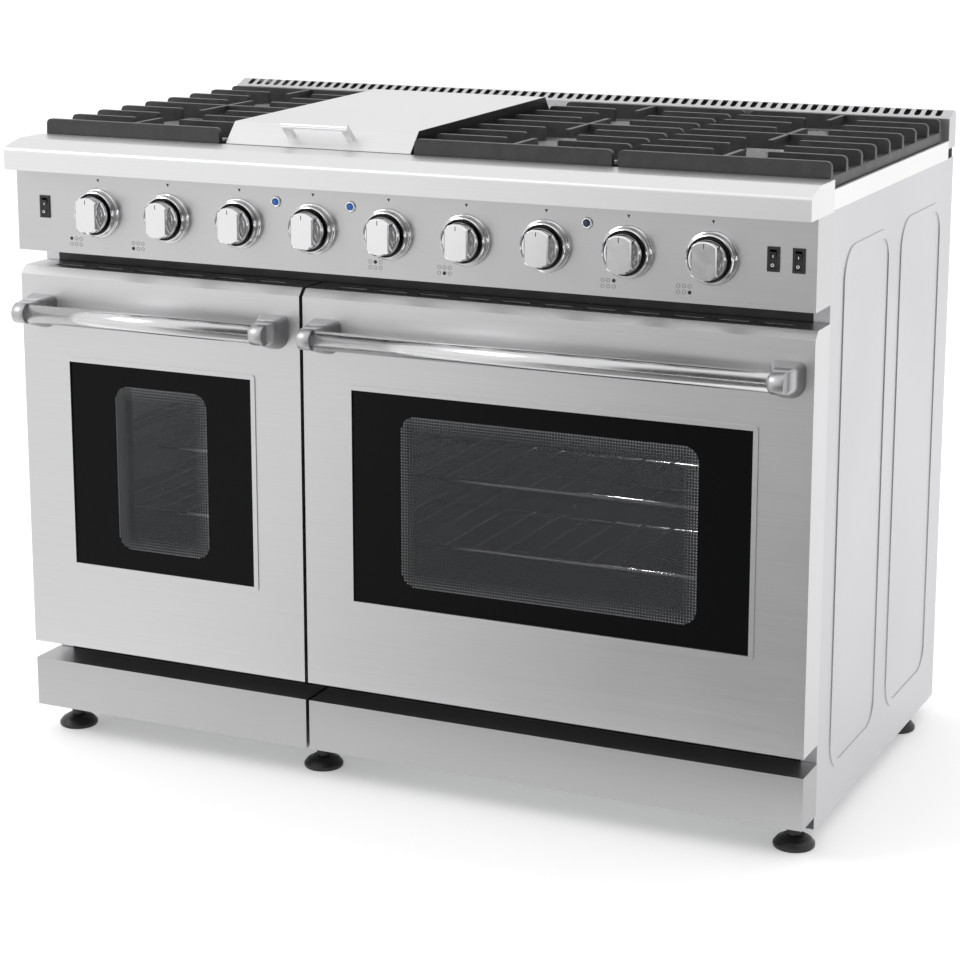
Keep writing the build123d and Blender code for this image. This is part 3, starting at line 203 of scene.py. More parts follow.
# The front's steel made lighter for the cooktop pan: painted light that lifts the shade under the grates.
PAN_STEEL_PAINTED_LIGHT = brushed("pan_steel_painted_light", (0.86, 0.86, 0.86), 0.4, ALONG_X, 0.03)
SIDE_STEEL = brushed("side_steel", (0.63, 0.63, 0.645), 0.42, ALONG_Z, 0.025, 0.00002)
TRIM_STEEL = brushed("trim_steel", (0.58, 0.58, 0.59), 0.34, ALONG_Y)
PLATE_STEEL = brushed("griddle_steel", (0.40, 0.39, 0.38), 0.38, ALONG_Y, 0.1)
ZINC = textured("zinc_sheet", (0.52, 0.53, 0.54), 0.48, 46.0, 0.12, 0.05, 0.0002, 0.85)
BAR_STEEL = polished("handle_steel", (0.68, 0.68, 0.69), 0.2)
BRACKET_STEEL = textured(
    "bracket_steel", (0.50, 0.50, 0.51), 0.38, 900.0, 0.05, 0.05, 0.00005, 1.0)
CHROME = polished("knob_chrome", (0.83, 0.83, 0.84), 0.11)
WIRE = polished("rack_wire", (0.72, 0.72, 0.73), 0.2)
BRASS = polished("brass", (0.72, 0.55, 0.30), 0.28)
TUBE = textured("burner_tube", (0.5, 0.5, 0.49), 0.45, 300.0, 0.1, 0.1, 0.0001, 0.9)
ALLOY = textured("burner_alloy", (0.55, 0.55, 0.56), 0.38, 700.0, 0.1, 0.2, 0.0001, 0.9)
CAST = textured("cast_iron", (0.030, 0.030, 0.031), 0.42, 1300.0, 0.25, 0.3, 0.0001, 0.0, 0.5)
CAP_BLACK = textured("burner_cap_enamel", (0.016, 0.016, 0.016), 0.34, 900.0, 0.15, 0.1, 0.0001)
BLACK_PLASTIC = textured("black_plastic", (0.012, 0.012, 0.013), 0.38, 1500.0, 0.2, 0.12, 0.00008)
# Black enamel for the front frame; the same black is painted shade on the griddle cover's sides and in the gaps
# round the doors.
BLACK_ENAMEL_AND_SHADE = textured("black_enamel", (0.008, 0.008, 0.008), 0.3, 220.0, 0.2, 0.03, 0.0002)
OVEN_ENAMEL = enamel("oven_enamel", (0.10, 0.105, 0.115), (0.34, 0.35, 0.37), 0.36)
GASKET = textured("gasket_braid", (0.05, 0.05, 0.05), 0.85, 1600.0, 0.3, 0.6, 0.0004)
CERAMIC = textured("igniter_ceramic", (0.86, 0.85, 0.82), 0.35, 600.0, 0.05, 0.05, 0.0001)
BORDER = glass("glass_border", (0.003, 0.003, 0.0033), 1.0, 0.10)
WINDOW = glass("glass_window", (0.055, 0.057, 0.060), 0.36, 0.12)
INNER_PANE = glass("inner_pane", (0.02, 0.02, 0.02), 0.12, 0.12)
SCREEN = textured("dot_screen", (0.17, 0.175, 0.18), 0.45, 900.0, 0.05, 0.02, 0.00005)
PRINT = textured("printed_black", (0.012, 0.012, 0.012), 0.5, 900.0, 0.1, 0.02, 0.00005)
PALE_PRINT = textured("printed_white", (0.75, 0.75, 0.74), 0.5, 900.0, 0.05, 0.02, 0.00005)
LENS_ON = glowing("lens_lit", (0.01, 0.10, 0.36), (0.02, 0.20, 0.75), 0.13)
# The unlit lamp's lens is given a faint glow: painted glow.
LENS_OFF_PAINTED_GLOW = glowing("lens_dark_painted_glow", (0.015, 0.03, 0.06), (0.03, 0.06, 0.12), 0.05)


def coat(node, *materials):
    """Gives a CAD node its finished material."""
    slots = NODES[node].data.materials
    slots.clear()
    for material in materials:
        slots.append(material)


def coat_frame():
    """Every CAD node that keeps its own shape."""
    finishes = {
        "side_panels": SIDE_STEEL, "back_panel": ZINC, "base_frame": ZINC, "door_hinges": ZINC,
        "front_frame": BLACK_ENAMEL_AND_SHADE, "kick_panels": KICK_STEEL_PAINTED_SHADE, "bullnose_rail": TOP_STEEL_PAINTED_LIGHT,
        "control_panel": PANEL_STEEL_PAINTED_SHADE, "cooktop_pan": PAN_STEEL_PAINTED_LIGHT, "rear_guard": TRIM_STEEL,
        # The front frame is black enamel, and its black also serves as painted shade in the gaps round the doors.
        "griddle_cover": COVER_STEEL_PAINTED_LIGHT, "griddle_plate": PLATE_STEEL, "knob_bezels": CHROME,
        "gas_manifold": BRASS, "electrical_housings": BLACK_PLASTIC, "fan_housing": OVEN_ENAMEL,
        "fan_blade": TUBE, "tube_burners": TUBE, "burner_heads": ALLOY, "burner_caps": CAP_BLACK,
        "oven_left_liner": OVEN_ENAMEL, "oven_right_liner": OVEN_ENAMEL,
        "levelling_feet": BLACK_PLASTIC, "indicator_lamps": CHROME,
    }
    for name in NODES:
        if name.endswith("_skin"):
            finishes[name] = FRONT_STEEL
        elif name.endswith("_handle"):
            finishes[name] = BAR_STEEL
        elif name.startswith("door_") and name.endswith("_liner"):
            finishes[name] = OVEN_ENAMEL
        elif name.startswith("rack_"):
            finishes[name] = WIRE
        elif name.startswith("knob_") and name != "knob_bezels":
            finishes[name] = CHROME
        elif name.startswith("valve_stem"):
            finishes[name] = BRASS
        elif name.startswith("rocker"):
            finishes[name] = BLACK_PLASTIC
        elif name.startswith("grate"):
            finishes[name] = CAST
    for name, material in finishes.items():
        coat(name, material)


# ---- Mesh helpers ----

def add(name, mesh, material, body="chassis", smooth=False):
    """Puts a mesh in the scene as a piece that rides on a body."""
    piece = bpy.data.objects.new(name, mesh)
    bpy.context.scene.collection.objects.link(piece)
    mesh.materials.append(material)
    for polygon in mesh.polygons:
        polygon.use_smooth = smooth
    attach(piece, body)
    return piece


def from_bmesh(name, bm):
    mesh = bpy.data.meshes.new(name)
    bmesh.ops.recalc_face_normals(bm, faces=bm.faces)
    bm.to_mesh(mesh)
    bm.free()
    return mesh


def add_box(bm, low, high, bevel=0.0, segments=2):
    """A box with rounded edges, added to a bmesh."""
    part = bmesh.new()
    bmesh.ops.create_cube(part, size=1.0)
    middle = (Vector(low) + Vector(high)) / 2
    size = Vector(high) - Vector(low)
    for vertex in part.verts:
        vertex.co = Vector(vertex.co[i] * size[i] + middle[i] for i in range(3))
    if bevel:
        bmesh.ops.bevel(part, geom=list(part.edges), offset=bevel, segments=segments, profile=0.6,
                        affect="EDGES", clamp_overlap=True)
    merge(bm, part)


def merge(bm, part):
    mesh = bpy.data.meshes.new("part")
    part.to_mesh(mesh)
    part.free()
    bm.from_mesh(mesh)
    bpy.data.meshes.remove(mesh)


def add_prism(bm, outline, axis, depth, bevel=0.0, segments=2):
    """A flat outline of 3-D points pushed along an axis, with rounded edges."""
    part = bmesh.new()
    base = [part.verts.new(p) for p in outline]
    face = part.faces.new(base)
    moved = bmesh.ops.extrude_face_region(part, geom=[face])
    shift = Vector(axis) * depth
    for item in moved["geom"]:
        if isinstance(item, bmesh.types.BMVert):
            item.co += shift
    bmesh.ops.recalc_face_normals(part, faces=part.faces)
    if bevel:
        bmesh.ops.bevel(part, geom=list(part.edges), offset=bevel, segments=segments, profile=0.6,
                        affect="EDGES", clamp_overlap=True)
    merge(bm, part)


def add_lathe(bm, profile, centre, axis="Y", steps=64):
    """A closed profile of (radius, height) turned about an axis through centre."""
    rings = []
    for i in range(steps):
        angle = 2 * math.pi * i / steps
        ring = []
        for radius, height in profile:
            a, b = radius * math.cos(angle), radius * math.sin(angle)
            local = {"X": (height, a, b), "Y": (a, height, b), "Z": (a, b, height)}[axis]
            ring.append(bm.verts.new(Vector(centre) + Vector(local)))
        rings.append(ring)
    count = len(profile)
    for i in range(steps):
        ring, after = rings[i], rings[(i + 1) % steps]
        for k in range(count):
            n = (k + 1) % count
            quad = (ring[k], after[k], after[n], ring[n])
            bm.faces.new(quad)
    bmesh.ops.remove_doubles(bm, verts=bm.verts, dist=1e-6)


def rounded_rectangle(width, height, radius, steps=8):
    """Points round a rounded rectangle about the origin."""
    points = []
    for corner, (sx, sy) in enumerate(((1, 1), (-1, 1), (-1, -1), (1, -1))):
        cx, cy = sx * (width / 2 - radius), sy * (height / 2 - radius)
        for i in range(steps + 1):
            angle = math.pi / 2 * (corner + i / steps)
            points.append((cx + radius * math.cos(angle), cy + radius * math.sin(angle)))
    return points


def flat_disc(bm, centre, radius, inner=0.0, steps=24, thick=0.0002):
    """A thin printed dot, or a ring when it has an inner radius, facing the front."""
    profile = [(inner, 0), (radius, 0), (radius, -thick), (inner, -thick)]
    add_lathe(bm, profile, centre, "Y", steps)


def quarter_turn(steps):
    """The angles from 0 to a quarter turn, both ends counted."""
    return [math.pi / 2 * k / steps for k in range(steps + 1)]


def middle_of(node):
    low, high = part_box(node)
    return (low + high) / 2


# ---- Knobs, lamps and switches ----

KNOB_NAMES = [f"knob_{i}" for i in range(1, 10)]
PANEL_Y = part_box("control_panel")[0].y
SEAT_BORE = 0.0068
SEAT_RADIUS = 0.0295
SEAT_BACK = -0.0001           # the seats lie this little before the panel's face
SEAT_FRONT = -0.0007          # and stay clear of a pushed knob
MARK_UP = 0.0488              # pointer's upper edge above the knob's axis
MARK_HALF = 0.0023
MARK_TALL = 0.0044
FILLED_DOT = {1: (0, 1), 2: (0, 0), 5: (1, 1), 6: (1, 0), 8: (2, 1), 9: (2, 0)}
MAP_SHIFT = {1: -40, 2: -52, 5: -21, 6: -33, 8: -28, 9: -39}     # mm from each knob's axis
MAP_DROP = 0.044
DOT_PITCH = 0.008
DOT_RADIUS = 0.0026
DOT_LINE = 0.00045
TICK_HALF = 0.0006
TICK_SPAN = (0.0168, 0.0228)  # above the knob's axis
TICK_DEPTHS = (0.0001, 0.00045)
LAMP_APART = 0.117
LAMP_RING_WIDE = 0.0036
LENS_PROUD = 0.0032
LENS_DEEP = 0.004


def knob_seats():
    """The black ring at the bottom of each bezel: black plastic, and also painted shade in the recess round the
    knob.
    """
    bm = bmesh.new()
    for name in KNOB_NAMES:
        centre = middle_of(name)
        profile = [(SEAT_BORE, SEAT_BACK), (SEAT_RADIUS, SEAT_BACK), (SEAT_RADIUS, SEAT_FRONT),
                   (SEAT_BORE, SEAT_FRONT)]
        add_lathe(bm, profile, (centre.x, PANEL_Y, centre.z))
    add("knob_seats", from_bmesh("knob_seats", bm), BLACK_PLASTIC)


def knob_marks():
    """A pointer above each knob and a six-dot map of the burners beside its knob."""
    bm = bmesh.new()
    for i, name in enumerate(KNOB_NAMES, 1):
        centre = middle_of(name)
        top = centre.z + MARK_UP
        y = PANEL_Y
        points = [(centre.x - MARK_HALF, y, top), (centre.x + MARK_HALF, y, top), (centre.x, y, top - MARK_TALL)]
        add_prism(bm, points, (0, -1, 0), SKIN)
        if i not in FILLED_DOT:
            continue
        for column in range(3):
            for row in range(2):
                x = centre.x + MAP_SHIFT[i] * MM + (column - 1) * DOT_PITCH
                place = (x, y, centre.z - MAP_DROP + (row - 0.5) * DOT_PITCH)
                inner = 0.0 if FILLED_DOT[i] == (column, row) else DOT_RADIUS - DOT_LINE
                flat_disc(bm, place, DOT_RADIUS, inner)
    add("panel_marks", from_bmesh("panel_marks", bm), PRINT)


def knob_ticks():
    """The dark line in the top of each grip."""
    for name in KNOB_NAMES:
        low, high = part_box(name)
        x, z = (low.x + high.x) / 2, (low.z + high.z) / 2
        bm = bmesh.new()
        add_box(bm, (x - TICK_HALF, low.y + TICK_DEPTHS[0], z + TICK_SPAN[0]),
                (x + TICK_HALF, low.y + TICK_DEPTHS[1], z + TICK_SPAN[1]))
        add(f"{name}_tick", from_bmesh("tick", bm), PRINT, name)


def indicator_lamps():
    """A bright ring around a domed lens; two are lit, and the unlit third has a faint painted glow."""
    low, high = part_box("indicator_lamps")
    z = (low.z + high.z) / 2
    radius = (high.z - low.z) / 2
    places = [low.x + radius, low.x + radius + LAMP_APART, high.x - radius]
    rings = bmesh.new()
    for x in places:
        profile = [(radius - 0.0005, -0.0002), (radius, -0.0010), (radius - 0.0008, -0.0022),
                   (radius - 0.0022, -0.0026), (radius - 0.0034, -0.0016), (radius - LAMP_RING_WIDE, 0.0)]
        add_lathe(rings, profile, (x, PANEL_Y, z))
    piece = add("lamp_rings", from_bmesh("lamp_rings", rings), CHROME, "chassis", True)
    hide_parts("indicator_lamps")
    lenses = (("lamp_lenses_lit", places[:2], LENS_ON), ("lamp_lens_unlit_painted_glow", places[2:], LENS_OFF_PAINTED_GLOW))
    for name, chosen, material in lenses:
        bm = bmesh.new()
        reach = radius - LAMP_RING_WIDE
        for x in chosen:
            dome = [(reach * math.cos(a), -0.0004 - LENS_PROUD * math.sin(a)) for a in quarter_turn(6)]
            add_lathe(bm, dome + [(0.0, LENS_DEEP), (reach, LENS_DEEP)], (x, PANEL_Y, z), "Y", 40)
        add(name, from_bmesh(name, bm), material, "chassis", True)


def switch_marks():
    """A line and a ring moulded in each rocker."""
    for name in ("rocker_light_left", "rocker_light_right", "rocker_fan"):
        low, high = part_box(name)
        x, z = (low.x + high.x) / 2, (low.z + high.z) / 2
        bm = bmesh.new()
        front = low.y + 0.0012
        add_box(bm, (x - 0.0005, front - 0.0002, z + 0.0035), (x + 0.0005, front + 0.0018, z + 0.0080))
        flat_disc(bm, (x, front - 0.0006, z - 0.0062), 0.0021, 0.0014, 20, 0.0016)
        add(f"{name}_mark", from_bmesh("mark", bm), PALE_PRINT, name)


# ---- Grates and burners ----

BAR_HALF = 0.0041
BAR_DRAFT = 1.22              # a bar's foot is this much wider than its top
BAR_EDGE = 0.0014
SHARP_ANGLE = 1.0
GRATE_ROWS = 9
CROSS_EVERY = 4               # every fourth row runs right across
ROW_INSET = 0.0045
BLADE_TALL = 0.0225
FINGER = 0.108
CENTRE_REACH = 0.078          # how far the centre bars reach from a cross row
CENTRE_TALL = 0.0105
OUTER_END = 0.007
INNER_END = 0.002
GRATE_RAIL = 0.011
RAIL_UNDER = 0.0087           # the side rails' underside above the feet's
PAD = 0.022


def cast_bar(bm, start, end, z0, z1, half, slope0, slope1):
    """A tapered cast bar along X or Y with its top ends rounded off."""
    along = (Vector(end) - Vector(start)).normalized()
    side = Vector((-along.y, along.x, 0))
    foot = half * BAR_DRAFT
    part = bmesh.new()
    length = (Vector(end) - Vector(start)).length
    quarter = quarter_turn(4)
    stations = [(slope0 * (1 - math.cos(a)), z1 - slope0 * (1 - math.sin(a))) for a in quarter]
    stations += [(length - slope1 * (1 - math.sin(a)), z1 - slope1 * (1 - math.cos(a))) for a in quarter]
    rings = []
    for distance, top in stations:
        base = Vector(start) + along * distance
        ring = []
        for across, z in ((-foot, z0), (foot, z0), (half, top), (-half, top)):
            point = base + side * across
            ring.append(part.verts.new((point.x, point.y, z)))
        rings.append(ring)
    for ring, after in zip(rings, rings[1:]):
        for k in range(4):
            part.faces.new((ring[k], ring[(k + 1) % 4], after[(k + 1) % 4], after[k]))
    part.faces.new(rings[0])
    part.faces.new(rings[-1])
    bmesh.ops.recalc_face_normals(part, faces=part.faces)
    sharp = []
    for edge in part.edges:
        way = (edge.verts[0].co - edge.verts[1].co).normalized()
        if abs(way.dot(side)) < 0.5 and edge.calc_face_angle(0) > SHARP_ANGLE:
            sharp.append(edge)
    bmesh.ops.bevel(part, geom=sharp, offset=BAR_EDGE, segments=2, profile=0.5, affect="EDGES",
                    clamp_overlap=True)
    merge(bm, part)


def cast_grate(node, body):
    """Side rails on feet, nine rows, fingers round each burner and centre bars."""
    low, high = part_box(node)
    pitch = (high.y - low.y - 2 * ROW_INSET) / (GRATE_ROWS - 1)
    first = low.y + ROW_INSET
    blade_z = high.z - BLADE_TALL
    bm = bmesh.new()
    middle = (low.x + high.x) / 2
    for row in range(GRATE_ROWS):
        y = first + row * pitch
        if row % CROSS_EVERY == 0:
            cast_bar(bm, (low.x, y, 0), (high.x, y, 0), blade_z, high.z, BAR_HALF, OUTER_END, OUTER_END)
        else:
            for start, end in ((low.x, low.x + FINGER), (high.x, high.x - FINGER)):
                cast_bar(bm, (start, y, 0), (end, y, 0), blade_z, high.z, BAR_HALF, OUTER_END, INNER_END)
    centre_row, last_row = first + 4 * pitch, first + 8 * pitch
    spans = ((first, first + CENTRE_REACH), (centre_row - CENTRE_REACH, centre_row + CENTRE_REACH),
             (last_row - CENTRE_REACH, last_row))
    for start, end in spans:
        cast_bar(bm, (middle, start, 0), (middle, end, 0), high.z - CENTRE_TALL, high.z - 0.0004,
                 BAR_HALF * 0.9, 0.001, 0.001)
    for x in (low.x, high.x - GRATE_RAIL):
        add_box(bm, (x, low.y, low.z + RAIL_UNDER), (x + GRATE_RAIL, high.y, blade_z + 0.003), 0.0022, 2)
        for y in (low.y, (low.y + high.y - PAD) / 2, high.y - PAD):
            add_box(bm, (x + 0.0005, y, low.z), (x + GRATE_RAIL - 0.0005, y + PAD, blade_z), 0.002, 2)
    piece = add(f"{node}_casting", from_bmesh(node, bm), CAST, body)
    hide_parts(node)


CAP_RADIUS = 0.038
IGNITER_PLACE = (0.0465, -0.012)
SENSOR_PLACE = (-0.0475, -0.010)
IGNITER_FOOT = 0.022          # below the burner head's top


def burner_places():
    """The middle of each burner, from the nodes' own boxes."""
    low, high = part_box("burner_caps")
    places = []
    for node in ("grate_left", "grate_middle", "grate_right"):
        x = middle_of(node).x
        for y in (low.y + CAP_RADIUS, high.y - CAP_RADIUS):
            places.append((x, y))
    return places


def igniters():
    """A white ceramic spark igniter and a steel flame sensor beside each burner."""
    ceramic = bmesh.new()
    metal = bmesh.new()
    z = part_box("burner_heads")[1].z
    for x, y in burner_places():
        foot = (x + IGNITER_PLACE[0], y + IGNITER_PLACE[1], z - IGNITER_FOOT)
        shape = [(0, 0), (0.0042, 0), (0.0042, 0.012), (0.0030, 0.014), (0.0030, 0.021), (0, 0.021)]
        add_lathe(ceramic, shape, foot, "Z", 20)
        add_lathe(metal, [(0, 0.021), (0.0011, 0.021), (0.0011, 0.0265), (0, 0.0275)], foot, "Z", 12)
        sensor = (x + SENSOR_PLACE[0], y + SENSOR_PLACE[1], z - IGNITER_FOOT)
        shape = [(0, 0), (0.003, 0), (0.003, 0.014), (0.0016, 0.017), (0.0016, 0.025), (0, 0.026)]
        add_lathe(metal, shape, sensor, "Z", 16)
    piece = add("igniter_ceramics", from_bmesh("igniters", ceramic), CERAMIC, "chassis", True)
    piece = add("igniter_tips", from_bmesh("igniter_tips", metal), WIRE, "chassis", True)


# ---- Doors ----

LAP = 0.009
WINDOW_IN_X = 0.075
WINDOW_IN_Z = 0.030
WINDOW_CORNER = 0.022
PANE = 0.004
INNER_PANE_LESS = (0.114, 0.022)
DOT_SCREEN_PITCH = 0.0042
DOT_SCREEN_BAND = 0.019
DOT_SCREEN_EDGE = 0.0008
DOT_SCREEN_RADIUS = 0.00125
DOT_SCREEN_FADE = 0.62        # share of its radius a dot loses across the band


def ring_between(bm, outer, inner, y, thick):
    """A frame between two outlines of equal point counts in X and Z, with a thickness."""
    loops = []
    for outline, depth in ((outer, 0.0), (inner, 0.0), (inner, thick), (outer, thick)):
        loops.append([bm.verts.new((x, y + depth, z)) for x, z in outline])
    count = len(outer)
    for loop, after in zip(loops, loops[1:] + loops[:1]):
        for i in range(count):
            n = (i + 1) % count
            bm.faces.new((loop[i], loop[n], after[n], after[i]))


def outline_at(width, height, radius, centre_x, centre_z):
    return [(centre_x + x, centre_z + z) for x, z in rounded_rectangle(width, height, radius)]


def pane(name, width, height, radius, centre, y0, y1, material, body):
    bm = bmesh.new()
    points = [(x, y0, z) for x, z in outline_at(width, height, radius, centre[0], centre[1])]
    add_prism(bm, points, (0, 1, 0), y1 - y0)
    return add(name, from_bmesh(name, bm), material, body)


def dot_screen(name, width, height, radius, centre, y, body):
    """Small discs printed inside the window's edge, larger near the border, as a real mesh."""
    columns = int(width / DOT_SCREEN_PITCH)
    rows = int(height / DOT_SCREEN_PITCH)
    bm = bmesh.new()
    for i in range(columns + 1):
        for k in range(rows + 1):
            x = (i - columns / 2) * DOT_SCREEN_PITCH
            z = (k - rows / 2) * DOT_SCREEN_PITCH
            dx = max(abs(x) - (width / 2 - radius), 0)
            dz = max(abs(z) - (height / 2 - radius), 0)
            if dx and dz:
                inside = radius - math.hypot(dx, dz)
            else:
                inside = min(width / 2 - abs(x), height / 2 - abs(z))
            if DOT_SCREEN_EDGE < inside < DOT_SCREEN_BAND:
                size = DOT_SCREEN_RADIUS * (1 - DOT_SCREEN_FADE * inside / DOT_SCREEN_BAND)
                corners = [(centre[0] + x + size * math.cos(math.pi / 3 * s), y,
                            centre[1] + z + size * math.sin(math.pi / 3 * s)) for s in range(6)]
                bm.faces.new([bm.verts.new(p) for p in corners])
    return add(name, from_bmesh(name, bm), SCREEN, body)


def door_glazing(side):
    """The black-bordered outer glass, its clear window and the inner pane."""
    node = f"door_{side}_glass"
    body = f"door_{side}"
    low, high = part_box(node)
    width = high.x - low.x
    height = high.z - low.z
    centre = ((low.x + high.x) / 2, (low.z + high.z) / 2)
    window = (width - 2 * LAP - 2 * WINDOW_IN_X, height - 2 * LAP - 2 * WINDOW_IN_Z)
    bm = bmesh.new()
    outer = outline_at(width, height, 0.004, *centre)
    inner = outline_at(window[0], window[1], WINDOW_CORNER, *centre)
    ring_between(bm, outer, inner, low.y, PANE)
    border = add(f"door_{side}_glass_border", from_bmesh("border", bm), BORDER, body)
    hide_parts(node)
    clear = pane(f"door_{side}_window", *window, WINDOW_CORNER, centre, low.y + 0.0004, low.y + PANE, WINDOW, body)
    back_size = (width - 2 * LAP - INNER_PANE_LESS[0], height - 2 * LAP - INNER_PANE_LESS[1])
    back = pane(f"door_{side}_inner_pane", *back_size, 0.006, centre, high.y - PANE, high.y, INNER_PANE, body)
    dots = dot_screen(f"door_{side}_dot_screen", *window, WINDOW_CORNER, centre, low.y + 0.0002, body)


HANDLE_RADIUS = 0.0132
HANDLE_STAND = 0.0464         # bar's axis before the door's face
COLLAR_RADIUS = 0.015
COLLAR_LENGTH = 0.020
BAR_LOWER = 0.009             # bar's axis above the lowest point of the handle's own box
BRACKET_FOOT = (0.050, 0.020, 0.029, 0.009, 0.022)     # width, top, drop, upper and lower corners
BRACKET_IN = 0.004            # foot's middle from the collar's, toward the bar's other end


def plate_outline(width, top, drop, upper, lower, steps=8):
    """A rounded rectangle about the bar's axis, with one radius for its upper corners and one for its lower."""
    points = []
    for corner, (sx, sz) in enumerate(((1, 1), (-1, 1), (-1, -1), (1, -1))):
        radius = upper if sz > 0 else lower
        cx = sx * (width / 2 - radius)
        cz = top - radius if sz > 0 else radius - drop
        for i in range(steps + 1):
            angle = math.pi / 2 * (corner + i / steps)
            points.append((cx + radius * math.cos(angle), cz + radius * math.sin(angle)))
    return points


def handle_bracket(bm, x, way, face, z):
    """A wedge from the door's face to a collar round the bar's end; way points to the other end."""
    centre = x + way * COLLAR_LENGTH / 2
    foot = plate_outline(*BRACKET_FOOT)
    rise = COLLAR_RADIUS - 0.0004
    neck = plate_outline(COLLAR_LENGTH - 0.001, rise, rise, 0.0015, 0.006)
    loops = []
    for outline, middle, y in ((foot, centre + way * BRACKET_IN, face), (neck, centre, face - HANDLE_STAND)):
        loops.append([bm.verts.new((middle + a, y, z + b)) for a, b in outline])
    count = len(foot)
    for i in range(count):
        n = (i + 1) % count
        bm.faces.new((loops[0][i], loops[0][n], loops[1][n], loops[1][i]))
    bm.faces.new(loops[0])
    bm.faces.new(loops[1])
    ring = [(0.0, 0.0), (COLLAR_RADIUS - 0.0012, 0.0), (COLLAR_RADIUS, 0.0012),
            (COLLAR_RADIUS, COLLAR_LENGTH - 0.0006), (COLLAR_RADIUS - 0.0006, COLLAR_LENGTH), (0.0, COLLAR_LENGTH)]
    add_lathe(bm, [(r, way * h) for r, h in ring], (x, face - HANDLE_STAND, z), "X", 48)


def door_handle(side, left_in, right_in):
    """A round bar between two brackets; the ends' distances are from the handle's own box."""
    node = f"door_{side}_handle"
    low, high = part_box(node)
    start, end = low.x + left_in, high.x - right_in
    z = low.z + BAR_LOWER
    bm = bmesh.new()
    inside = COLLAR_LENGTH / 3
    length = end - start - 2 * inside
    profile = [(0.0, 0.0), (HANDLE_RADIUS, 0.0), (HANDLE_RADIUS, length), (0.0, length)]
    add_lathe(bm, profile, (start + inside, high.y - HANDLE_STAND, z), "X", 64)
    bar = add(f"door_{side}_bar", from_bmesh("bar", bm), BAR_STEEL, f"door_{side}", True)
    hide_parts(node)
    bm = bmesh.new()
    handle_bracket(bm, start, 1, high.y, z)
    handle_bracket(bm, end, -1, high.y, z)
    piece = add(f"door_{side}_brackets", from_bmesh("brackets", bm), BRACKET_STEEL, f"door_{side}", True)
    for polygon in piece.data.polygons:
        polygon.use_smooth = len(polygon.vertices) == 4


GASKET_RADIUS = 0.0013
GASKET_IN = 0.006
LAMP_IN = 0.085               # oven lamp from the liner's side and top
LAMP_RADIUS = 0.0208


def oven_gasket(side):
    """A braided seal round each mouth, between the front frame and the door."""
    low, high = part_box(f"oven_{side}_liner")
    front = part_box("front_frame")[0].y
    width = high.x - low.x - 2 * GASKET_IN
    height = high.z - low.z - 2 * GASKET_IN
    points = outline_at(width, height, 0.02, (low.x + high.x) / 2, (low.z + high.z) / 2)
    curve = bpy.data.curves.new(f"oven_{side}_gasket", "CURVE")
    curve.dimensions = "3D"
    spline = curve.splines.new("POLY")
    spline.points.add(len(points) - 1)
    for point, (x, z) in zip(spline.points, points):
        point.co = (x, front - 0.0012, z, 1)
    spline.use_cyclic_u = True
    curve.bevel_depth = GASKET_RADIUS
    curve.bevel_resolution = 3
    curve.materials.append(GASKET)
    piece = bpy.data.objects.new(f"oven_{side}_gasket", curve)
    bpy.context.scene.collection.objects.link(piece)
    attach(piece, "chassis")


def oven_lamps():
    """A round glass-covered lamp high in the rear wall of each oven."""
    for side in ("left", "right"):
        low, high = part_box(f"oven_{side}_liner")
        x = low.x + LAMP_IN
        y = high.y - 0.0015
        z = high.z - LAMP_IN
        bm = bmesh.new()
        rim = [(0.021, 0.0), (0.028, 0.0), (0.028, -0.006), (0.025, -0.009), (0.021, -0.009)]
        add_lathe(bm, rim, (x, y, z), "Y", 40)
        add(f"oven_{side}_lamp_rim", from_bmesh("rim", bm), WIRE, "chassis", True)
        bm = bmesh.new()
        dome = [(LAMP_RADIUS * math.cos(a), -0.006 - 0.012 * math.sin(a)) for a in quarter_turn(7)]
        add_lathe(bm, dome + [(0.0, -0.001), (LAMP_RADIUS, -0.001)], (x, y, z), "Y", 40)
        piece = add(f"oven_{side}_lamp_glass", from_bmesh("glass", bm), CERAMIC, "chassis", True)


# ---- Cabinet details ----

SHADE_SHEET_IN = 0.0012
SHADE_SHEET_SLOPE = 0.0285
SHADE_SHEET_THICK = 0.0006
REAR_SCREW = 0.0042
REAR_SCREW_IN = 0.02
REAR_SCREW_END = 0.03
REAR_SCREWS = 6               # in each of three columns


def paint_griddle_side_shade():
    """Painted shade: black sheets just outside the griddle cover's sides, standing in for their shade and the dark
    reflection of the grates on them.
    """
    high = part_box("griddle_cover")[1]
    plate_low, plate_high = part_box("griddle_plate")
    y0, y1 = plate_low.y, plate_high.y
    base = plate_high.z + 0.0005
    outline = [(y0 + SHADE_SHEET_IN, base), (y0 + SHADE_SHEET_SLOPE, high.z - 0.0068), (y1 - SHADE_SHEET_SLOPE, high.z - 0.0008),
               (y1 - SHADE_SHEET_IN, base)]
    bm = bmesh.new()
    for x, way in ((plate_low.x - 0.0003, -1), (plate_high.x + 0.0003, 1)):
        points = [(x, y, z) for y, z in outline]
        add_prism(bm, points, (way, 0, 0), SHADE_SHEET_THICK)
    # painted shade and painted reflection on the cover's steel sides
    piece = add("griddle_cover_painted_shade", from_bmesh("shade_sheets", bm), BLACK_ENAMEL_AND_SHADE, "griddle_cover")


def screw(bm, centre, normal, radius):
    """A low domed head."""
    head = bmesh.new()
    dome = [(radius * math.cos(a), radius * 0.42 * math.sin(a)) for a in quarter_turn(4)]
    add_lathe(head, dome + [(0.0, -0.0004), (radius, -0.0004)], (0, 0, 0), "Z", 20)
    turn = Vector((0, 0, 1)).rotation_difference(Vector(normal)).to_matrix().to_4x4()
    bmesh.ops.transform(head, matrix=Matrix.Translation(Vector(centre)) @ turn, verts=head.verts)
    merge(bm, head)


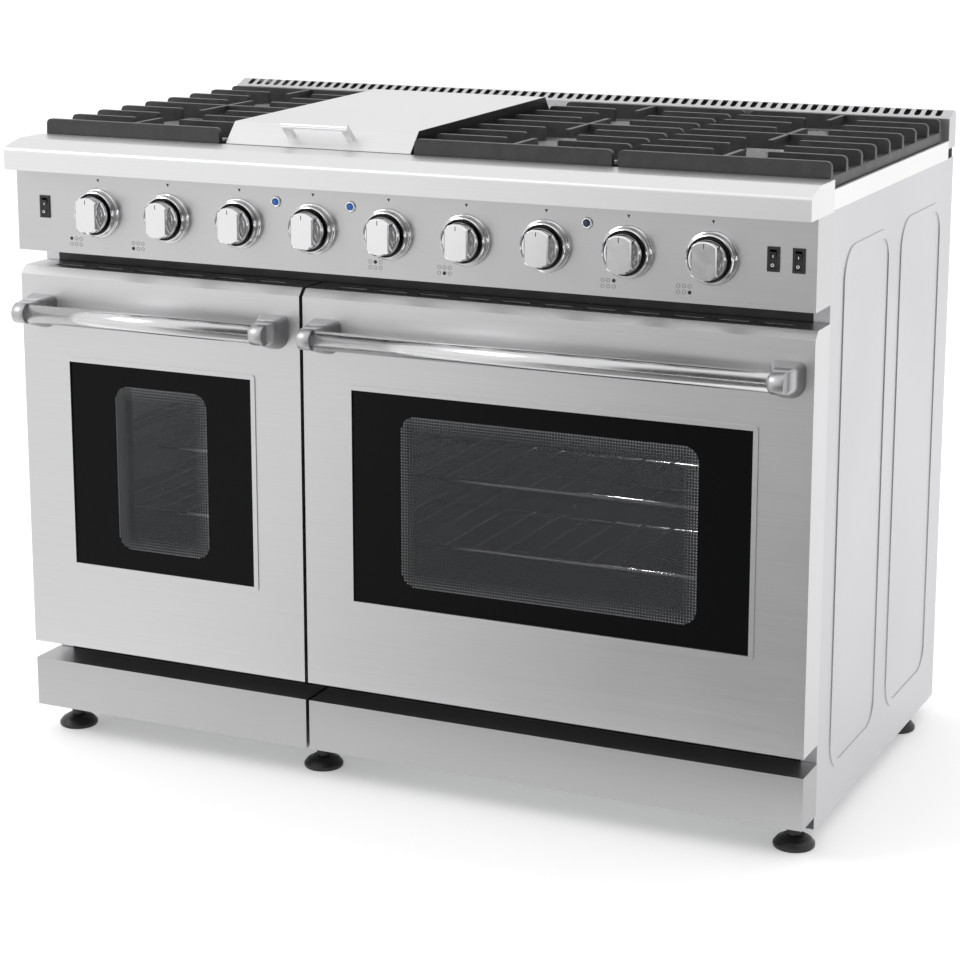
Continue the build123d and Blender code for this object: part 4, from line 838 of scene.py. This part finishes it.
def screws():
    """Three columns of screws in the back panel."""
    bm = bmesh.new()
    low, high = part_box("back_panel")
    y = high.y
    for x in (low.x + REAR_SCREW_IN, (low.x + high.x) / 2, high.x - REAR_SCREW_IN):
        for k in range(REAR_SCREWS):
            z = low.z + REAR_SCREW_END + k * (high.z - low.z - 2 * REAR_SCREW_END) / (REAR_SCREWS - 1)
            screw(bm, (x, y, z), (0, 1, 0), REAR_SCREW)
    add("rear_screws", from_bmesh("screws", bm), ZINC, "chassis", True)


# ---- Stage, lights and camera ----

FLOOR_REACH = (-30, 30)
CARD_STOPS = ((0.0, 0.98), (0.34, 0.98), (0.55, 0.36), (0.8, 0.16))     # place along the card, brightness
CARD_WAY = (1.0, -0.35, 0.0)
CARD_SPAN = (-2.6, 3.4)
FLAG_WAY = (0.80, -0.59, 0.06)
FLAG_EDGES = (0.62, 0.93)
FLAG_GREY = 0.10

def flat_plane(name, x, y, z, material):
    bm = bmesh.new()
    corners = [(x[0], y[0], z), (x[1], y[0], z), (x[1], y[1], z), (x[0], y[1], z)]
    bm.faces.new([bm.verts.new(corner) for corner in corners])
    plane = bpy.data.objects.new(name, from_bmesh(name, bm))
    bpy.context.scene.collection.objects.link(plane)
    plane.data.materials.append(material)
    return plane


def stage():
    """A pale floor that glows a little, and a card over it that only reflections see, white at the left."""
    white, tree, shader = principled("floor_white", (0.92, 0.92, 0.92), 0.0, 0.7)
    shader.inputs["Emission Color"].default_value = (1, 1, 1, 1)
    shader.inputs["Emission Strength"].default_value = 0.28
    flat_plane("floor", FLOOR_REACH, FLOOR_REACH, 0.0, white)
    material = bpy.data.materials.new("reflection_card")
    material.use_nodes = True
    tree = material.node_tree
    tree.nodes.remove(tree.nodes["Principled BSDF"])
    glow = tree.nodes.new("ShaderNodeEmission")
    coords = tree.nodes.new("ShaderNodeTexCoord")
    across = tree.nodes.new("ShaderNodeVectorMath")
    across.operation = "DOT_PRODUCT"
    across.inputs[1].default_value = CARD_WAY
    ramp = tree.nodes.new("ShaderNodeValToRGB")
    ramp.color_ramp.interpolation = "EASE"
    ramp.color_ramp.elements[0].position = CARD_STOPS[0][0]
    ramp.color_ramp.elements[1].position = CARD_STOPS[-1][0]
    for position, value in CARD_STOPS[1:-1]:
        ramp.color_ramp.elements.new(position)
    for element, (position, value) in zip(ramp.color_ramp.elements, CARD_STOPS):
        element.color = (value, value, value, 1)
    spans = tree.nodes.new("ShaderNodeMapRange")
    spans.inputs["From Min"].default_value = CARD_SPAN[0]
    spans.inputs["From Max"].default_value = CARD_SPAN[1]
    tree.links.new(coords.outputs["Object"], across.inputs[0])
    tree.links.new(across.outputs["Value"], spans.inputs["Value"])
    tree.links.new(spans.outputs["Result"], ramp.inputs["Fac"])
    tree.links.new(ramp.outputs["Color"], glow.inputs["Color"])
    tree.links.new(glow.outputs["Emission"], tree.nodes["Material Output"].inputs["Surface"])
    card = flat_plane("floor_card", (-5, 5), (-7, -0.55), 0.004, material)
    card.visible_camera = False
    card.visible_diffuse = False
    card.visible_shadow = False
    card.visible_transmission = False


def area_light(name, place, target, size, power):
    data = bpy.data.lights.new(name, "AREA")
    data.shape = "RECTANGLE"
    data.size, data.size_y = size
    data.energy = power
    light = bpy.data.objects.new(name, data)
    light.location = place
    light.rotation_euler = (Vector(target) - Vector(place)).to_track_quat("-Z", "Y").to_euler()
    bpy.context.scene.collection.objects.link(light)


def point_light(name, place, power):
    data = bpy.data.lights.new(name, "POINT")
    data.energy = power
    data.shadow_soft_size = 0.02
    light = bpy.data.objects.new(name, data)
    light.location = place
    bpy.context.scene.collection.objects.link(light)


def world():
    """White studio air with a grey flag in front and to the right, which shows only in reflections."""
    air = bpy.data.worlds.new("studio")
    bpy.context.scene.world = air
    air.use_nodes = True
    tree = air.node_tree
    coords = tree.nodes.new("ShaderNodeTexCoord")
    toward = tree.nodes.new("ShaderNodeVectorMath")
    toward.operation = "DOT_PRODUCT"
    toward.inputs[1].default_value = FLAG_WAY
    ramp = tree.nodes.new("ShaderNodeValToRGB")
    ramp.color_ramp.interpolation = "EASE"
    ramp.color_ramp.elements[0].position = FLAG_EDGES[0]
    ramp.color_ramp.elements[0].color = (1, 1, 1, 1)
    ramp.color_ramp.elements[1].position = FLAG_EDGES[1]
    ramp.color_ramp.elements[1].color = (FLAG_GREY, FLAG_GREY, FLAG_GREY, 1)
    background = tree.nodes["Background"]
    tree.links.new(coords.outputs["Generated"], toward.inputs[0])
    tree.links.new(toward.outputs["Value"], ramp.inputs["Fac"])
    tree.links.new(ramp.outputs["Color"], background.inputs["Color"])
    background.inputs["Strength"].default_value = 1.0


def camera():
    """From the right, a little above the cooktop."""
    data = bpy.data.cameras.new("view")
    data.lens = 94.9
    data.sensor_width = 36
    data.shift_y = -0.1
    view = bpy.data.objects.new("view", data)
    view.location = (1.5463, -3.353, 1.3521)
    view.rotation_euler = (math.radians(90 - 12.33), 0, math.radians(24.772))
    bpy.context.scene.collection.objects.link(view)
    bpy.context.scene.camera = view


coat_frame()
knob_seats()
knob_marks()
knob_ticks()
indicator_lamps()
switch_marks()
for place in ("left", "middle", "right"):
    cast_grate(f"grate_{place}", f"grate_{place}")
igniters()
for place in ("left", "right"):
    door_glazing(place)
    oven_gasket(place)
door_handle("left", 0.0018, 0.0107)
door_handle("right", 0.0016, 0.0018)
oven_lamps()
paint_griddle_side_shade()
screws()
stage()
world()
area_light("key", (-2.9, -2.6, 3.2), (-0.2, 0, 0.7), (1.8, 1.8), 46)
for place in ("left", "right"):
    low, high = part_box(f"oven_{place}_liner")
    point_light(f"oven_{place}_light", ((low.x + high.x) / 2, low.y + 0.12, high.z - 0.03), 2.2)
camera()
bpy.context.scene.view_settings.view_transform = "Standard"
